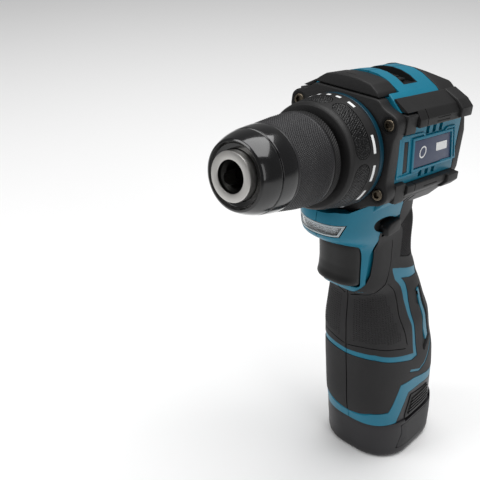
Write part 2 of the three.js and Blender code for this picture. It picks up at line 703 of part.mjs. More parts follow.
function batteryCase() {
  let shape = loft([
    roundedRing(FOOT_HALF_X - 2.4, FOOT_HALF_Y - 2.4, FOOT_CORNER - 2.4, 0, 0),
    roundedRing(FOOT_HALF_X - 0.7, FOOT_HALF_Y - 0.7, FOOT_CORNER - 0.7, 0, 1.4),
    roundedRing(FOOT_HALF_X, FOOT_HALF_Y, FOOT_CORNER, 0, 3.6),
    roundedRing(FOOT_HALF_X, FOOT_HALF_Y + 0.4, FOOT_CORNER - 1, -0.8, 16),
    roundedRing(FOOT_HALF_X - 0.6, FOOT_HALF_Y + 0.6, FOOT_CORNER - 3, -1.8, FOOT_TOP),
  ]);
  const half = CELL_PITCH / 2;
  cellPlaces().forEach(([x, y]) => {
    shape = shape.add(rodAlongZ(CELL_RADIUS + 0.3 + STICK_WALL, 20, STICK_TOP, x, STICK_Y + y));
  });
  shape = shape.add(box(-half, half, STICK_Y - half, STICK_Y + half, 20, STICK_TOP));
  shape = shape.add(gripTail().intersect(prism('x', EAR_OUTLINE, -40, 40)));
  cellPlaces().forEach(([x, y]) => {
    shape = shape.subtract(rodAlongZ(CELL_RADIUS + 0.3, CELL_BOTTOM - 1, STICK_TOP - 2, x, STICK_Y + y));
  });
  shape = shape.subtract(box(-4, 4, STICK_Y - 4, STICK_Y + 4, CELL_BOTTOM - 1, STICK_TOP - 2));
  shape = shape.subtract(box(-6, 6, STICK_Y - 3, STICK_Y + 3, 77.6, STICK_TOP + 2));
  [1, -1].forEach((side) => {
    const pocket = throughSide(grown(LATCH_OUTLINE, GAP), side).subtract(grip(LATCH_TRAVEL + 2.3));
    shape = shape.subtract(pocket);
  });
  return shape;
}

function throughSide(outline, side) {
  return side > 0 ? prism('x', outline, 15, 40) : prism('x', outline, -40, -15);
}

function batteryLatch(side) {
  let latch = throughSide(LATCH_OUTLINE, side).intersect(grip(-0.5).subtract(grip(1.8)));
  for (let rib = 0; rib < 5; rib += 1) {
    const z = 29.4 + rib * 2.2;
    const lean = 0.3 * (z - 29.4);
    const [front, back] = [lean - 11, 10.4 - 0.5 * lean];
    const strip = [[front, z], [back, z], [back, z + 1], [front, z + 1]];
    latch = latch.add(throughSide(strip, side).intersect(grip(-1.2).subtract(grip(0))));
  }
  return latch;
}

// ---- assembly ------------------------------------------------------------------------------------
function sideOf(shape, left) {
  return shape.intersect(left ? box(0.15, 60, -120, 60, -5, 260) : box(-60, -0.15, -120, 60, -5, 260));
}

add('chuck_body', inHead(chuckBody()), STEEL, 1, 0.25);
for (let third = 0; third < 3; third += 1) {
  add(`chuck_jaw_${third + 1}`, inHead(jaw(third)), STEEL, 1, 0.3);
}
add('chuck_front_cap', inHead(chuckFrontCap()), BLACK, 0, 0.15);
add('chuck_grip_sleeve', inHead(chuckGripSleeve()), CHARCOAL);
add('chuck_nut', inHead(turned([[16.1, -47], [17.6, -47], [17.6, -41], [16.1, -41]])), STEEL, 1, 0.4);
add('chuck_rear_ring', inHead(turned([
  [14.3, -31.8], [20.4, -31.8], [20.9, -31.2], [20.9, -28], [20, -27.2], [14.3, -27.2],
])), CHARCOAL);
add('output_spindle', inHead(outputSpindle()), STEEL, 1, 0.3);
add('spindle_bearing', inHead(turned([[5.15, -22.6], [9, -22.6], [9, -16.8], [5.15, -16.8]])), STEEL, 1, 0.3);
for (let third = 0; third < 3; third += 1) {
  add(`planet_gear_${third + 1}`, inHead(planetGear(third)), STEEL, 1, 0.35);
}
add('ring_gear', inHead(ringGear()), STEEL, 1, 0.4);
add('speed_shift_ring', inHead(turned([
  [13.4, -2.4], [15.2, -2.4], [15.2, 1.6], [13.4, 1.6],
])), BRASS, 1, 0.4);
add('motor_rotor', inHead(motorRotor()), 0x8a4a2c, 0.6, 0.4);
add('motor_can', inHead(turned([
  [5, MOTOR_FRONT], [MOTOR_RADIUS, MOTOR_FRONT], [MOTOR_RADIUS, MOTOR_REAR], [5, MOTOR_REAR],
  [5, MOTOR_REAR - 1.4], [14.2, MOTOR_REAR - 1.4], [14.2, MOTOR_FRONT + 1.4], [5, MOTOR_FRONT + 1.4],
])), STEEL, 1, 0.35);
add('motor_fan', inHead(motorFan()), BLACK);
add('rear_bearing', inHead(turned([[1.9, 59.4], [4, 59.4], [4, 63.4], [1.9, 63.4]], 16)), BRASS, 1, 0.4);
add('gear_case', inHead(gearCase()), CHARCOAL);
FLANGE_SCREWS.forEach((screw) => {
  add(`flange_screw_${screw.name}`, inHead(flangeScrew(screw)), STEEL, 1, 0.3);
});
add('torque_collar', inHead(torqueCollar()), CHARCOAL);
add('collar_grip_ring', inHead(collarGripRing(0)), BLACK, 0, 0.9);
add('collar_base_ring', inHead(turned([[17.7, -6], [26.4, -6], [26.4, -3.1], [17.7, -3.1]], 36)), 0x124a5a);
add('clutch_spring', inHead(clutchSpring()), STEEL, 1, 0.3);
add('top_shroud', inHead(prism('y', SHROUD_OUTLINE, -1.4, 14)), CHARCOAL);
add('rear_cap', inHead(rearCap()), CHARCOAL);
[['left', 1], ['right', -1]].forEach(([name, side]) => {
  add(`upper_rail_${name}`, inHead(rail(side, true)), CHARCOAL);
  add(`lower_rail_${name}`, inHead(rail(side, false)), CHARCOAL);
  const [near, far] = [27.5 * side, 28.4 * side].sort((a, b) => a - b);
  add(`label_plate_${name}`, inHead(prism('x', LABEL_OUTLINE, near, far)), 0x2b3550);
});

const shell = housingShell();
const skin = overmoldSkin();
[['left', true], ['right', false]].forEach(([name, left]) => {
  add(`housing_${name}`, sideOf(shell, left), TEAL);
  add(`grip_overmold_${name}`, sideOf(skin, left), CHARCOAL, 0, 0.85);
});
HOUSING_SCREWS.forEach(({ name, y, z, halfWidth }) => {
  const head = rodAlongX(2.5, 0.8 - halfWidth, 2.4 - halfWidth, y, z);
  add(`housing_screw_${name}`, head.add(rodAlongX(1.2, 2 - halfWidth, 8, y, z)), STEEL, 1, 0.3);
});
add('led_lens', grip(0.3).subtract(grip(2.4)).intersect(ledRegion(0)), 0xdfe8ea, 0, 0.05);
add('led_board', box(-7, 7, -66, -64.6, 166.8, 172).add(box(-1.6, 1.6, -68, -65.6, 168, 171)), 0xe8e4c8);
add('trigger', trigger(), BLACK);
add('trigger_switch', triggerSwitch(), CHARCOAL);
add('trigger_spring', triggerSpring(), STEEL, 1, 0.3);
add('direction_lever', directionLever(), BLACK);
add('speed_selector', inHead(speedSelector()), BLACK);
add('control_board', box(-11, 11, -33, -12, 102, 103.6).add(box(-6, 6, -28, -18, 103.4, 110)), 0x1f5c34);
add('terminal_receiver', box(-10, 10, STICK_Y - 6, STICK_Y + 6, STICK_TOP + 2.4, 99.6), BLACK);
add('battery_case', batteryCase(), BLACK, 0, 0.35);
cellPlaces().forEach(([x, y], index) => {
  const cell = rodAlongZ(CELL_RADIUS, CELL_BOTTOM, CELL_BOTTOM + CELL_LENGTH, x, STICK_Y + y);
  add(`battery_cell_${index + 1}`, cell, 0x2f6fb0, 0.2, 0.4);
});
add('battery_terminals', box(-5.7, 5.7, STICK_Y - 2.7, STICK_Y + 2.7, 78, STICK_TOP + 1.4), BRASS, 1, 0.3);
[['left', 1], ['right', -1]].forEach(([name, side]) => {
  add(`battery_latch_${name}`, batteryLatch(side), CHARCOAL);
});

export default drill;
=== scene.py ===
import math

import bmesh
import bpy
import numpy as np
from mathutils import Matrix, Vector
from mathutils.geometry import delaunay_2d_cdt


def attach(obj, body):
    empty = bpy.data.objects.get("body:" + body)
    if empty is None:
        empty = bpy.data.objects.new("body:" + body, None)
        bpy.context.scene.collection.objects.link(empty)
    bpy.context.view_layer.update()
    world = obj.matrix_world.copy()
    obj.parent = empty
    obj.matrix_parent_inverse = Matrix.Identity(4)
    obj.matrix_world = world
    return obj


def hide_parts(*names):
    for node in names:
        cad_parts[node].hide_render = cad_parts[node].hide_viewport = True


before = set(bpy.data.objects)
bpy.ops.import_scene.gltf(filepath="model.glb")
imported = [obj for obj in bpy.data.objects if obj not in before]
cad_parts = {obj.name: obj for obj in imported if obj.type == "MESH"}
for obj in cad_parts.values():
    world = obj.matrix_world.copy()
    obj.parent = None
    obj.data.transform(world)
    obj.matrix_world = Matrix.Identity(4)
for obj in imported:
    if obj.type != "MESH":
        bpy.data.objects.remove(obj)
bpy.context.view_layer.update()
scene = bpy.context.scene

# ---- driving dimensions, in millimetres -----------------------------------------------------
GAP = 0.3
HEAD = Matrix.Translation((0, -59.7, 204.9)) @ Matrix.Rotation(math.radians(-8.6), 4, "X")
OVERMOLD_DEPTH = 1.2
SHELL_DEPTH = 3.2
FOOT_HALF_X, FOOT_HALF_Y, FOOT_CORNER, FOOT_TOP = 26.5, 29.6, 21.5, 26.4
STICK_Y, STICK_TOP = -9.5, 88.0
CELL_PITCH, CELL_RADIUS, CELL_BOTTOM, STICK_WALL = 18.7, 9.1, 9.0, 0.9
JAW_ANGLE, JAW_TIP_Y, JAW_TIP_RADIUS, JAW_RADIUS = math.radians(16), -74.0, 2.6, 2.9
JAW_LENGTH, JAW_RETRACTION = 26.0, 12.0
COLLAR_PADS = 5
SIDES = {"left": 1, "right": -1}
SKIN_SCALE = 24.0  # millimetres round the grip for one radian

FLANGE_SCREWS = {
    "top_left": (25.1, 17.7),
    "top_right": (-25.1, 17.7),
    "bottom_left": (25.1, -14.7),
    "bottom_right": (-25.1, -14.7),
}
HOUSING_SCREWS = {
    "neck": (-21, 171.5, 19.5),
    "grip_rear": (-5, 112, 19.2),
    "grip_front": (-36.5, 118.5, 16),
}

# Level sections of the grip and neck: height, front, back, half width, squareness.
GRIP_SECTIONS = np.array([
    (26.8, -33.2, 28, 25.5, 2.8),
    (41, -36.6, 28, 25.4, 2.8),
    (60, -38.8, 25.5, 25.4, 2.8),
    (79, -41.2, 19.5, 24.5, 2.8),
    (91, -42.4, 16.4, 23.9, 2.8),
    (102, -43.3, 11.6, 21.9, 2.8),
    (114, -43.2, 6.2, 20, 2.8),
    (119, -43.8, 3.8, 18.9, 2.8),
    (122, -46.5, 2.2, 18.4, 3),
    (127, -53, -0.6, 18, 3.5),
    (134, -55, -4, 17.5, 3.6),
    (148, -55.4, -6, 17.7, 3.6),
    (154, -57.5, -6, 18.1, 3.4),
    (158, -64, -5.8, 18.8, 3),
    (161.5, -70.5, -5.5, 19.4, 2.6),
    (165, -74, -5, 19.9, 2.5),
    (169, -75.2, -4.9, 20.5, 2.4),
    (174, -75, -5, 21.4, 2.4),
    (184, -72.5, -3.6, 23, 2.8),
])


def mirrored(half):
    return half + [(-x, z) for x, z in reversed(half) if x > 0]


HEAD_OUTLINE = mirrored([
    (0, 35.2), (5, 34.8), (10, 33.4), (13.5, 31.6), (18.5, 28.9), (27, 21.5), (28, 17), (28, -14),
    (26, -20), (18, -29), (0, -32),
])
CAVITY_OUTLINE = mirrored([
    (0, 28.6), (12, 28.2), (16, 26.4), (21.4, 20), (22.8, 16), (22.8, -13), (21.4, -17),
    (15, -24.5),
    (0, -28),
])
FLANGE_OUTLINE = mirrored([
    (0, 27.6), (17.5, 27.6), (21, 24.2), (27.4, 22.2), (29.7, 19.8), (29.7, 15), (28.6, 11),
    (28.6, -9),
    (30.2, -12), (30.2, -16.4), (27.5, -19.6), (21, -21.5), (14, -26.4), (0, -28),
])
REAR_OUTLINE = mirrored([
    (0, 27.8), (9, 27), (16, 24.2), (22, 19.8), (26.6, 14.4), (28, 7), (28, -12), (26, -20),
    (18, -27.5),
    (0, -30),
])
SHROUD_OUTLINE = mirrored([(0, 34.4), (6, 34.1), (12, 33), (16.5, 29.8), (17.4, 27.9), (0, 27.9)])
LABEL_OUTLINE = [(17.5, 8.4), (51, 8.4), (55.6, -5.4), (20.4, -5.4)]
EAR_OUTLINE = [
    (-20.5, 22), (-18.8, 29.2), (-15.8, 37.5), (-12, 45.4), (-1, 44.9), (12, 42.4), (40, 37),
    (40, 22),
]
LATCH_OUTLINE = [(-13.4, 27.4), (-13, 31), (-9.6, 42.6), (10, 39.8), (12.8, 27.4)]
OVERMOLD_OUTLINE = [
    (-60, 32.4), (-34.9, 32.8), (-33, 36.8), (-26, 37.3), (-24.4, 42), (-20.3, 55.2), (-7.6, 54),
    (9.4, 48.9), (40, 42.4), (40, 180), (-33, 180), (-33, 165.5), (-31.5, 158), (-37, 156.8),
    (-44, 158.6), (-47.6, 157.8), (-49.8, 148), (-50.2, 134), (-49, 127.5), (-47, 124),
    (-43, 121.6),
    (-60, 120.4),
]


# ---- outlines ---------------------------------------------------------------------------------
def circle(radius, u=0.0, v=0.0, count=64):
    turns = [2 * math.pi * k / count for k in range(count)]
    return [(u + radius * math.cos(t), v + radius * math.sin(t)) for t in turns]


def outside(sign, near, far=40):
    """The span from near to far on one side of the centre plane."""
    return sorted((near * sign, far * sign))


def area(outline):
    pairs = zip(outline, outline[1:] + outline[:1])
    return 0.5 * sum(a[0] * b[1] - b[0] * a[1] for a, b in pairs)


def grown(outline, distance):
    turn = 1 if area(outline) > 0 else -1
    count = len(outline)
    result = []
    for i, corner in enumerate(outline):
        here = Vector(corner)
        before = (here - Vector(outline[i - 1])).normalized()
        after = (Vector(outline[(i + 1) % count]) - here).normalized()
        normal_in = Vector((before.y, -before.x)) * turn
        normal_out = Vector((after.y, -after.x)) * turn
        mitre = (normal_in + normal_out) * (distance / (1 + max(normal_in.dot(normal_out), -0.6)))
        result.append(tuple(here + mitre))
    return result


def rounded(outline, radius, steps=4, least=18):
    """The outline with each corner sharper than `least` degrees turned into a short curve."""
    count = len(outline)
    result = []
    for i, corner in enumerate(outline):
        here = Vector(corner)
        back = Vector(outline[i - 1]) - here
        ahead = Vector(outline[(i + 1) % count]) - here
        if 180 - math.degrees(back.angle(ahead)) < least:
            result.append(tuple(here))
            continue
        start = here + back.normalized() * min(radius, 0.45 * back.length)
        end = here + ahead.normalized() * min(radius, 0.45 * ahead.length)
        for k in range(steps + 1):
            t = k / steps
            result.append(tuple(start * (1 - t) ** 2 + here * 2 * t * (1 - t) + end * t * t))
    return result


def finely(outline, step):
    """The closed outline with points no further apart than step."""
    result = []
    for a, b in zip(outline, outline[1:] + outline[:1]):
        a, b = Vector(a), Vector(b)
        parts = max(1, math.ceil((b - a).length / step))
        result += [tuple(a.lerp(b, k / parts)) for k in range(parts)]
    return result


def strip(line, width):
    """A closed outline of that width along an open line."""
    left, right = [], []
    for i, point in enumerate(line):
        before = Vector(line[max(i - 1, 0)])
        after = Vector(line[min(i + 1, len(line) - 1)])
        along = (after - before).normalized()
        across = Vector((-along.y, along.x)) * width / 2
        left.append(tuple(Vector(point) + across))
        right.append(tuple(Vector(point) - across))
    return left + right[::-1]


def within(points, outline):
    """Which of the points lie inside the outline."""
    points = np.asarray(points, float)
    inside = np.zeros(len(points), bool)
    for (x0, y0), (x1, y1) in zip(outline, outline[1:] + outline[:1]):
        if y0 == y1:
            continue
        crosses = (y0 > points[:, 1]) != (y1 > points[:, 1])
        at = x0 + (points[:, 1] - y0) * (x1 - x0) / (y1 - y0)
        inside ^= crosses & (points[:, 0] < at)
    return inside


# ---- solids -----------------------------------------------------------------------------------
def solid(points, faces):
    mesh = bpy.data.meshes.new("solid")
    mesh.from_pydata([tuple(p) for p in points], [], faces)
    work = bmesh.new()
    work.from_mesh(mesh)
    bmesh.ops.remove_doubles(work, verts=work.verts, dist=1e-4)
    bmesh.ops.recalc_face_normals(work, faces=work.faces)
    work.to_mesh(mesh)
    work.free()
    obj = bpy.data.objects.new("solid", mesh)
    scene.collection.objects.link(obj)
    return obj


def combined(first, others, operation):
    for other in others:
        modifier = first.modifiers.new("boolean", "BOOLEAN")
        modifier.operation = operation
        modifier.solver = "MANIFOLD"
        modifier.object = other
        bpy.context.view_layer.update()
        graph = bpy.context.evaluated_depsgraph_get()
        mesh = bpy.data.meshes.new_from_object(first.evaluated_get(graph))
        first.modifiers.clear()
        first.data = mesh
        bpy.data.objects.remove(other)
    return first


def cut(first, *others):
    return combined(first, others, "DIFFERENCE")


def joined(first, *others):
    return combined(first, others, "UNION")


def common(first, *others):
    return combined(first, others, "INTERSECT")


def copied(obj):
    twin = bpy.data.objects.new("solid", obj.data.copy())
    scene.collection.objects.link(twin)
    return twin


def moved(obj, matrix):
    obj.data.transform(matrix)
    if matrix.determinant() < 0:
        obj.data.flip_normals()
    return obj


def in_head(obj):
    return moved(obj, HEAD)


def loft(rings, closed=False):
    count = len(rings[0])
    points = [p for ring in rings for p in ring]
    faces = []
    spans = len(rings) if closed else len(rings) - 1
    for r in range(spans):
        for i in range(count):
            j = (i + 1) % count
            s = (r + 1) % len(rings)
            faces.append((r * count + i, r * count + j, s * count + j, s * count + i))
    if not closed:
        faces.append(tuple(range(count)))
        faces.append(tuple(reversed(range((len(rings) - 1) * count, len(rings) * count))))
    return solid(points, faces)


def placed(axis, u, v, w):
    return {"x": (w, u, v), "y": (u, w, v), "z": (u, v, w)}[axis]


def slab(axis, outline, start, end, edge=0.0, steps=3):
    """A prism across the axis, its end edges rounded by `edge`."""
    outline = [tuple(p) for p in outline]
    if edge == 0:
        levels = [(start, 0), (end, 0)]
    else:
        turns = [math.pi / 2 * k / steps for k in range(steps + 1)]
        curve = [(edge * (1 - math.sin(t)), edge * (1 - math.cos(t))) for t in turns]
        levels = [(start + rise, inset) for rise, inset in reversed(curve)]
        levels += [(end - rise, inset) for rise, inset in curve]
    rings = []
    for level, inset in levels:
        ring = grown(outline, -inset) if inset else outline
        rings.append([placed(axis, u, v, level) for u, v in ring])
    return loft(rings)


def box(x0, x1, y0, y1, z0, z1, edge=0.0):
    outline = [(x0, y0), (x1, y0), (x1, y1), (x0, y1)]
    if edge:
        outline = rounded(outline, edge)
    return slab("z", outline, z0, z1, edge)


def turned(profile, segments=120, soft=0.0, relief=None):
    """A body of revolution about y from a closed (radius, y) profile; relief(angle, r, y) adds to r."""
    if soft:
        profile = rounded(profile, soft, steps=3, least=20)
    rings = []
    for k in range(segments):
        angle = 2 * math.pi * k / segments
        ring = []
        for r, y in profile:
            rr = r + (relief(angle, r, y) if relief else 0)
            ring.append((rr * math.sin(angle), y, rr * math.cos(angle)))
        rings.append(ring)
    return loft(rings, closed=True)


def rod(radius, start, end, x=0.0, z=0.0, segments=64):
    return slab("y", circle(radius, x, z, segments), start, end)


def rod_x(radius, start, end, y, z, segments=40):
    return slab("x", circle(radius, y, z, segments), start, end)


def rod_z(radius, start, end, x, y):
    return slab("z", circle(radius, x, y), start, end)


# ---- the grip's surface -------------------------------------------------------------------------
def slopes(x, y):
    step = np.diff(x)
    rise = np.diff(y) / step
    slope = np.zeros(len(x))
    slope[0], slope[-1] = rise[0], rise[-1]
    for i in range(1, len(x) - 1):
        if rise[i - 1] * rise[i] > 0:
            near, far = 2 * step[i] + step[i - 1], step[i] + 2 * step[i - 1]
            slope[i] = (near + far) / (near / rise[i - 1] + far / rise[i])
    return slope


SECTION_SLOPES = [slopes(GRIP_SECTIONS[:, 0], GRIP_SECTIONS[:, k]) for k in range(5)]


def section(z):
    """Front, back, half width and squareness at a height, along smooth curves through the sections."""
    heights = GRIP_SECTIONS[:, 0]
    z = min(max(z, heights[0]), heights[-1])
    i = min(int(np.searchsorted(heights, z, side="right")) - 1, len(heights) - 2)
    h = heights[i + 1] - heights[i]
    t = (z - heights[i]) / h
    result = []
    for k in range(1, 5):
        a, b = GRIP_SECTIONS[i, k], GRIP_SECTIONS[i + 1, k]
        m, n = SECTION_SLOPES[k][i], SECTION_SLOPES[k][i + 1]
        value = (2 * t**3 - 3 * t**2 + 1) * a + (t**3 - 2 * t**2 + t) * h * m
        value += (3 * t**2 - 2 * t**3) * b + (t**3 - t**2) * h * n
        result.append(value)
    return result


def grip_point(angle, z, inset=0.0):
    front, back, half, square = section(z)
    across, deep = half - inset, (back - front) / 2 - inset
    c, s = math.cos(angle), math.sin(angle)
    reach = (abs(c / across) ** square + abs(s / deep) ** square) ** (-1 / square)
    return (reach * c, (front + back) / 2 + reach * s, z)


def grip(inset=0.0, count=112, low=None):
    heights = [26.8 + k * (184 - 26.8) / 104 for k in range(105)]
    rings = [[grip_point(2 * math.pi * k / count, z, inset) for k in range(count)] for z in heights]
    if low is not None:
        shrunk = [grip_point(2 * math.pi * k / count, 26.8, inset + 3) for k in range(count)]
        rings.insert(0, [(x, y, low) for x, y, _ in shrunk])
    return loft(rings)


def side(y, z):
    """A point of the left side's skin, from its place across and up."""
    front, back, half, square = section(z)
    deep = (back - front) / 2
    share = max(-0.9999, min(0.9999, (y - (front + back) / 2) / deep))
    x = half * (1 - abs(share) ** square) ** (1 / square)
    return (math.atan2(share * deep, x) * SKIN_SCALE, z)


def front(x, z):
    """A point of the front's skin, from its place left of the seam and up."""
    low, back, half, square = section(z)
    deep = (back - low) / 2
    y = deep * (1 - abs(x / half) ** square) ** (1 / square)
    return (math.atan2(-y, x) * SKIN_SCALE, z)


FRONT_SEAM = -math.pi / 2 * SKIN_SCALE
BACK_SEAM = math.pi / 2 * SKIN_SCALE


def skin(outline, holes=(), outer=0.0, inner=0.9, spacing=1.7, relief=None):
    """A piece of skin that follows the grip, between two depths, with crisp edges."""
    loops = [finely(list(outline), 1.0)] + [finely(list(hole), 1.0) for hole in holes]
    points, edges = [], []
    for loop in loops:
        first = len(points)
        points += loop
        edges += [(first + i, first + (i + 1) % len(loop)) for i in range(len(loop))]
    low, high = np.min(loops[0], axis=0), np.max(loops[0], axis=0)
    across = np.arange(low[0] + spacing / 2, high[0], spacing)
    up = np.arange(low[1] + spacing / 2, high[1], spacing)
    grid = np.array([(u, v) for u in across for v in up]).reshape(-1, 2)
    keep = within(grid, loops[0])
    for loop in loops[1:]:
        keep &= ~within(grid, loop)
    border = np.array(points)
    for i in np.nonzero(keep)[0]:
        keep[i] = np.min(np.hypot(*(border - grid[i]).T)) > 0.4 * spacing
    places = [Vector(p) for p in points] + [Vector(p) for p in grid[keep]]
    found = delaunay_2d_cdt(places, edges, [], 0, 1e-5)
    flat, triangles = found[0], found[2]
    middles = [sum((flat[i] for i in t), Vector((0, 0))) / 3 for t in triangles]
    middles = [tuple(m) for m in middles]
    chosen = within(middles, loops[0])
    for loop in loops[1:]:
        chosen &= ~within(middles, loop)
    triangles = [t for t, wanted in zip(triangles, chosen) if wanted]
    used = {}
    for t in triangles:
        for a, b in ((t[0], t[1]), (t[1], t[2]), (t[2], t[0])):
            used[(a, b)] = used.get((a, b), 0) + 1
    rim = [(a, b) for a, b in used if (b, a) not in used]
    count = len(flat)
    top = [
        grip_point(p.x / SKIN_SCALE, p.y, outer - (relief(p.x, p.y) if relief else 0)) for p in flat
    ]
    bottom = [grip_point(p.x / SKIN_SCALE, p.y, inner) for p in flat]
    faces = [tuple(t) for t in triangles]
    faces += [tuple(count + i for i in reversed(t)) for t in triangles]
    faces += [(b, a, count + a, count + b) for a, b in rim]
    kept = sorted({i for face in faces for i in face})
    number = {old: new for new, old in enumerate(kept)}
    everything = top + bottom
    return solid([everything[i] for i in kept], [tuple(number[i] for i in face) for face in faces])


def dots(outline, pitch, radius, height, outer=0.0):
    """Low domes in rows on a piece of skin."""
    low, high = np.min(outline, axis=0), np.max(outline, axis=0)
    centres = []
    for row, v in enumerate(np.arange(low[1] + pitch / 2, high[1], pitch)):
        for u in np.arange(low[0] + pitch / 2, high[0], pitch):
            centres.append((u, v))
    inner = grown(list(outline), -radius - 0.5)
    centres = [c for c, good in zip(centres, within(centres, inner)) if good]
    points, faces = [], []
    for u, v in centres:
        first = len(points)
        for share, rise in ((1.0, -0.05), (0.6, 0.75 * height)):
            for k in range(8):
                turn = math.pi * k / 4
                p = (u + share * radius * math.cos(turn), v + share * radius * math.sin(turn))
                points.append(grip_point(p[0] / SKIN_SCALE, p[1], outer - rise))
        points.append(grip_point(u / SKIN_SCALE, v, outer - height))
        points.append(grip_point(u / SKIN_SCALE, v, outer + 0.1))
        for k in range(8):
            j = (k + 1) % 8
            faces.append((first + k, first + j, first + 8 + j, first + 8 + k))
            faces.append((first + 8 + k, first + 8 + j, first + 16))
            faces.append((first + j, first + k, first + 17))
    return solid(points, faces)


def flipped(obj):
    return moved(copied(obj), Matrix.Scale(-1, 4, (1, 0, 0)))


# ---- materials ----------------------------------------------------------------------------------
def shader(name, color, roughness, metallic=0.0, coat=0.0):
    material = bpy.data.materials.new(name)
    material.use_nodes = True
    nodes = material.node_tree.nodes
    principled = nodes["Principled BSDF"]
    principled.inputs["Base Color"].default_value = (*color, 1)
    principled.inputs["Roughness"].default_value = roughness
    principled.inputs["Metallic"].default_value = metallic
    principled.inputs["Coat Weight"].default_value = coat
    if metallic == 0:
        principled.inputs["Specular IOR Level"].default_value = 0.27
    return material, nodes, material.node_tree.links, principled


def added(nodes, kind, **values):
    """A new shader node with those values on its sockets; _ in a name stands for a space."""
    made = nodes.new("ShaderNode" + kind)
    for name, value in values.items():
        made.inputs[name.replace("_", " ")].default_value = value
    return made


def raise_by(height, nodes, links, principled, strength, distance, invert=False):
    raised = added(nodes, "Bump", Strength=strength, Distance=distance)
    raised.invert = invert
    links.new(height, raised.inputs["Height"])
    links.new(raised.outputs["Normal"], principled.inputs["Normal"])


def gloss_by(factor, nodes, links, principled, low, high):
    span = added(nodes, "MapRange", To_Min=low, To_Max=high)
    links.new(factor, span.inputs["Value"])
    links.new(span.outputs["Result"], principled.inputs["Roughness"])


def color_by(factor, nodes, links, principled, color, shares, stops=(0, 1)):
    """The colour at two strengths, mixed by the factor."""
    ramp = nodes.new("ShaderNodeValToRGB")
    for element, share, stop in zip(ramp.color_ramp.elements, shares, stops):
        element.position = stop
        element.color = (*[min(1, c * share) for c in color], 1)
    links.new(factor, ramp.inputs["Fac"])
    links.new(ramp.outputs["Color"], principled.inputs["Base Color"])


def textured(name, color, roughness, grain=700, bump=0.25, spread=0.12, **other):
    """Moulded plastic: fine grain in the surface, and a slow drift of tone and gloss."""
    material, nodes, links, principled = shader(name, color, roughness, **other)
    place = nodes.new("ShaderNodeTexCoord")
    fine = added(nodes, "TexNoise", Scale=grain, Detail=3)
    slow = added(nodes, "TexNoise", Scale=45, Detail=5)
    for noise in (fine, slow):
        links.new(place.outputs["Object"], noise.inputs["Vector"])
    raise_by(fine.outputs["Fac"], nodes, links, principled, bump, 0.0001)
    color_by(slow.outputs["Fac"], nodes, links, principled, color, (1 - spread, 1 + spread), (0.3, 0.7))
    low, high = max(0.03, roughness - 0.07), min(1, roughness + 0.07)
    gloss_by(fine.outputs["Fac"], nodes, links, principled, low, high)
    return material


def machined(name, color, roughness):
    """Turned metal: fine marks that run round the y axis of the piece."""
    material, nodes, links, principled = shader(name, color, roughness, metallic=1.0)
    place = nodes.new("ShaderNodeTexCoord")
    split = nodes.new("ShaderNodeSeparateXYZ")
    links.new(place.outputs["Object"], split.inputs["Vector"])
    flat = nodes.new("ShaderNodeCombineXYZ")
    links.new(split.outputs["X"], flat.inputs["X"])
    links.new(split.outputs["Z"], flat.inputs["Y"])
    length = nodes.new("ShaderNodeVectorMath")
    length.operation = "LENGTH"
    links.new(flat.outputs["Vector"], length.inputs[0])
    lines = nodes.new("ShaderNodeCombineXYZ")
    links.new(length.outputs["Value"], lines.inputs["X"])
    links.new(split.outputs["Y"], lines.inputs["Y"])
    noise = added(nodes, "TexNoise", Scale=5200, Detail=2)
    links.new(lines.outputs["Vector"], noise.inputs["Vector"])
    raise_by(noise.outputs["Fac"], nodes, links, principled, 0.35, 0.00005)
    gloss_by(noise.outputs["Fac"], nodes, links, principled, roughness - 0.08, roughness + 0.12)
    return material


def pebbled(name, color, roughness, scale, depth):
    """Rubber with a cellular grain, each cell painted lighter at its crown and darker at its rim as
    painted highlight and painted shade.
    """
    material, nodes, links, principled = shader(name, color, roughness)
    place = nodes.new("ShaderNodeTexCoord")
    cells = added(nodes, "TexVoronoi", Scale=scale)
    links.new(place.outputs["Object"], cells.inputs["Vector"])
    raise_by(cells.outputs["Distance"], nodes, links, principled, 0.8, depth, invert=True)
    # Painted highlight on each pebble's crown and painted shade between the pebbles.
    color_by(cells.outputs["Distance"], nodes, links, principled, color, (1.5, 0.5))
    return material


TEAL = textured("teal_plastic", (0.004, 0.150, 0.235), 0.36, grain=900, bump=0.12, spread=0.07)
DARK_TEAL = textured("dark_teal", (0.002, 0.030, 0.050), 0.35, grain=900, bump=0.12)
CHARCOAL = textured("charcoal_plastic", (0.0115, 0.0112, 0.0115), 0.5, grain=900, bump=0.3)
RUBBER = textured("overmold_rubber", (0.0125, 0.0118, 0.0125), 0.62, grain=1500, bump=0.5)
BLACK = textured("black_plastic", (0.003, 0.003, 0.0033), 0.45, grain=900, bump=0.2)
RIBBED = textured("ribbed_rubber", (0.022, 0.021, 0.022), 0.5, grain=1500, bump=0.4)
# Near-black painted shade, laid in the screw wells, at the bottoms of the lever dishes and under the
# overmould's grooves.
RECESS_SHADE = textured("painted_recess_shade", (0.0012, 0.0012, 0.0013), 0.6, grain=900, bump=0.1)
TRIGGER = textured("trigger_plastic", (0.006, 0.0058, 0.006), 0.4, grain=900, bump=0.25)
GLOSS = textured("gloss_black", (0.003, 0.003, 0.0035), 0.19, grain=250, bump=0.03, coat=0.6)
FOOT = textured("foot_plastic", (0.018, 0.017, 0.019), 0.4, grain=1100, bump=0.3)
PAD = pebbled("collar_rubber", (0.003, 0.003, 0.0034), 0.36, 850, 0.0003)
PEBBLE = pebbled("pebbled_plastic", (0.016, 0.0155, 0.017), 0.5, 1100, 0.00015)
KNURL = textured("knurled_plastic", (0.020, 0.0195, 0.021), 0.36, grain=1200, bump=0.2)
STEEL = machined("bright_steel", (0.52, 0.51, 0.49), 0.3)
DARK_STEEL = machined("dark_steel", (0.12, 0.10, 0.075), 0.32)
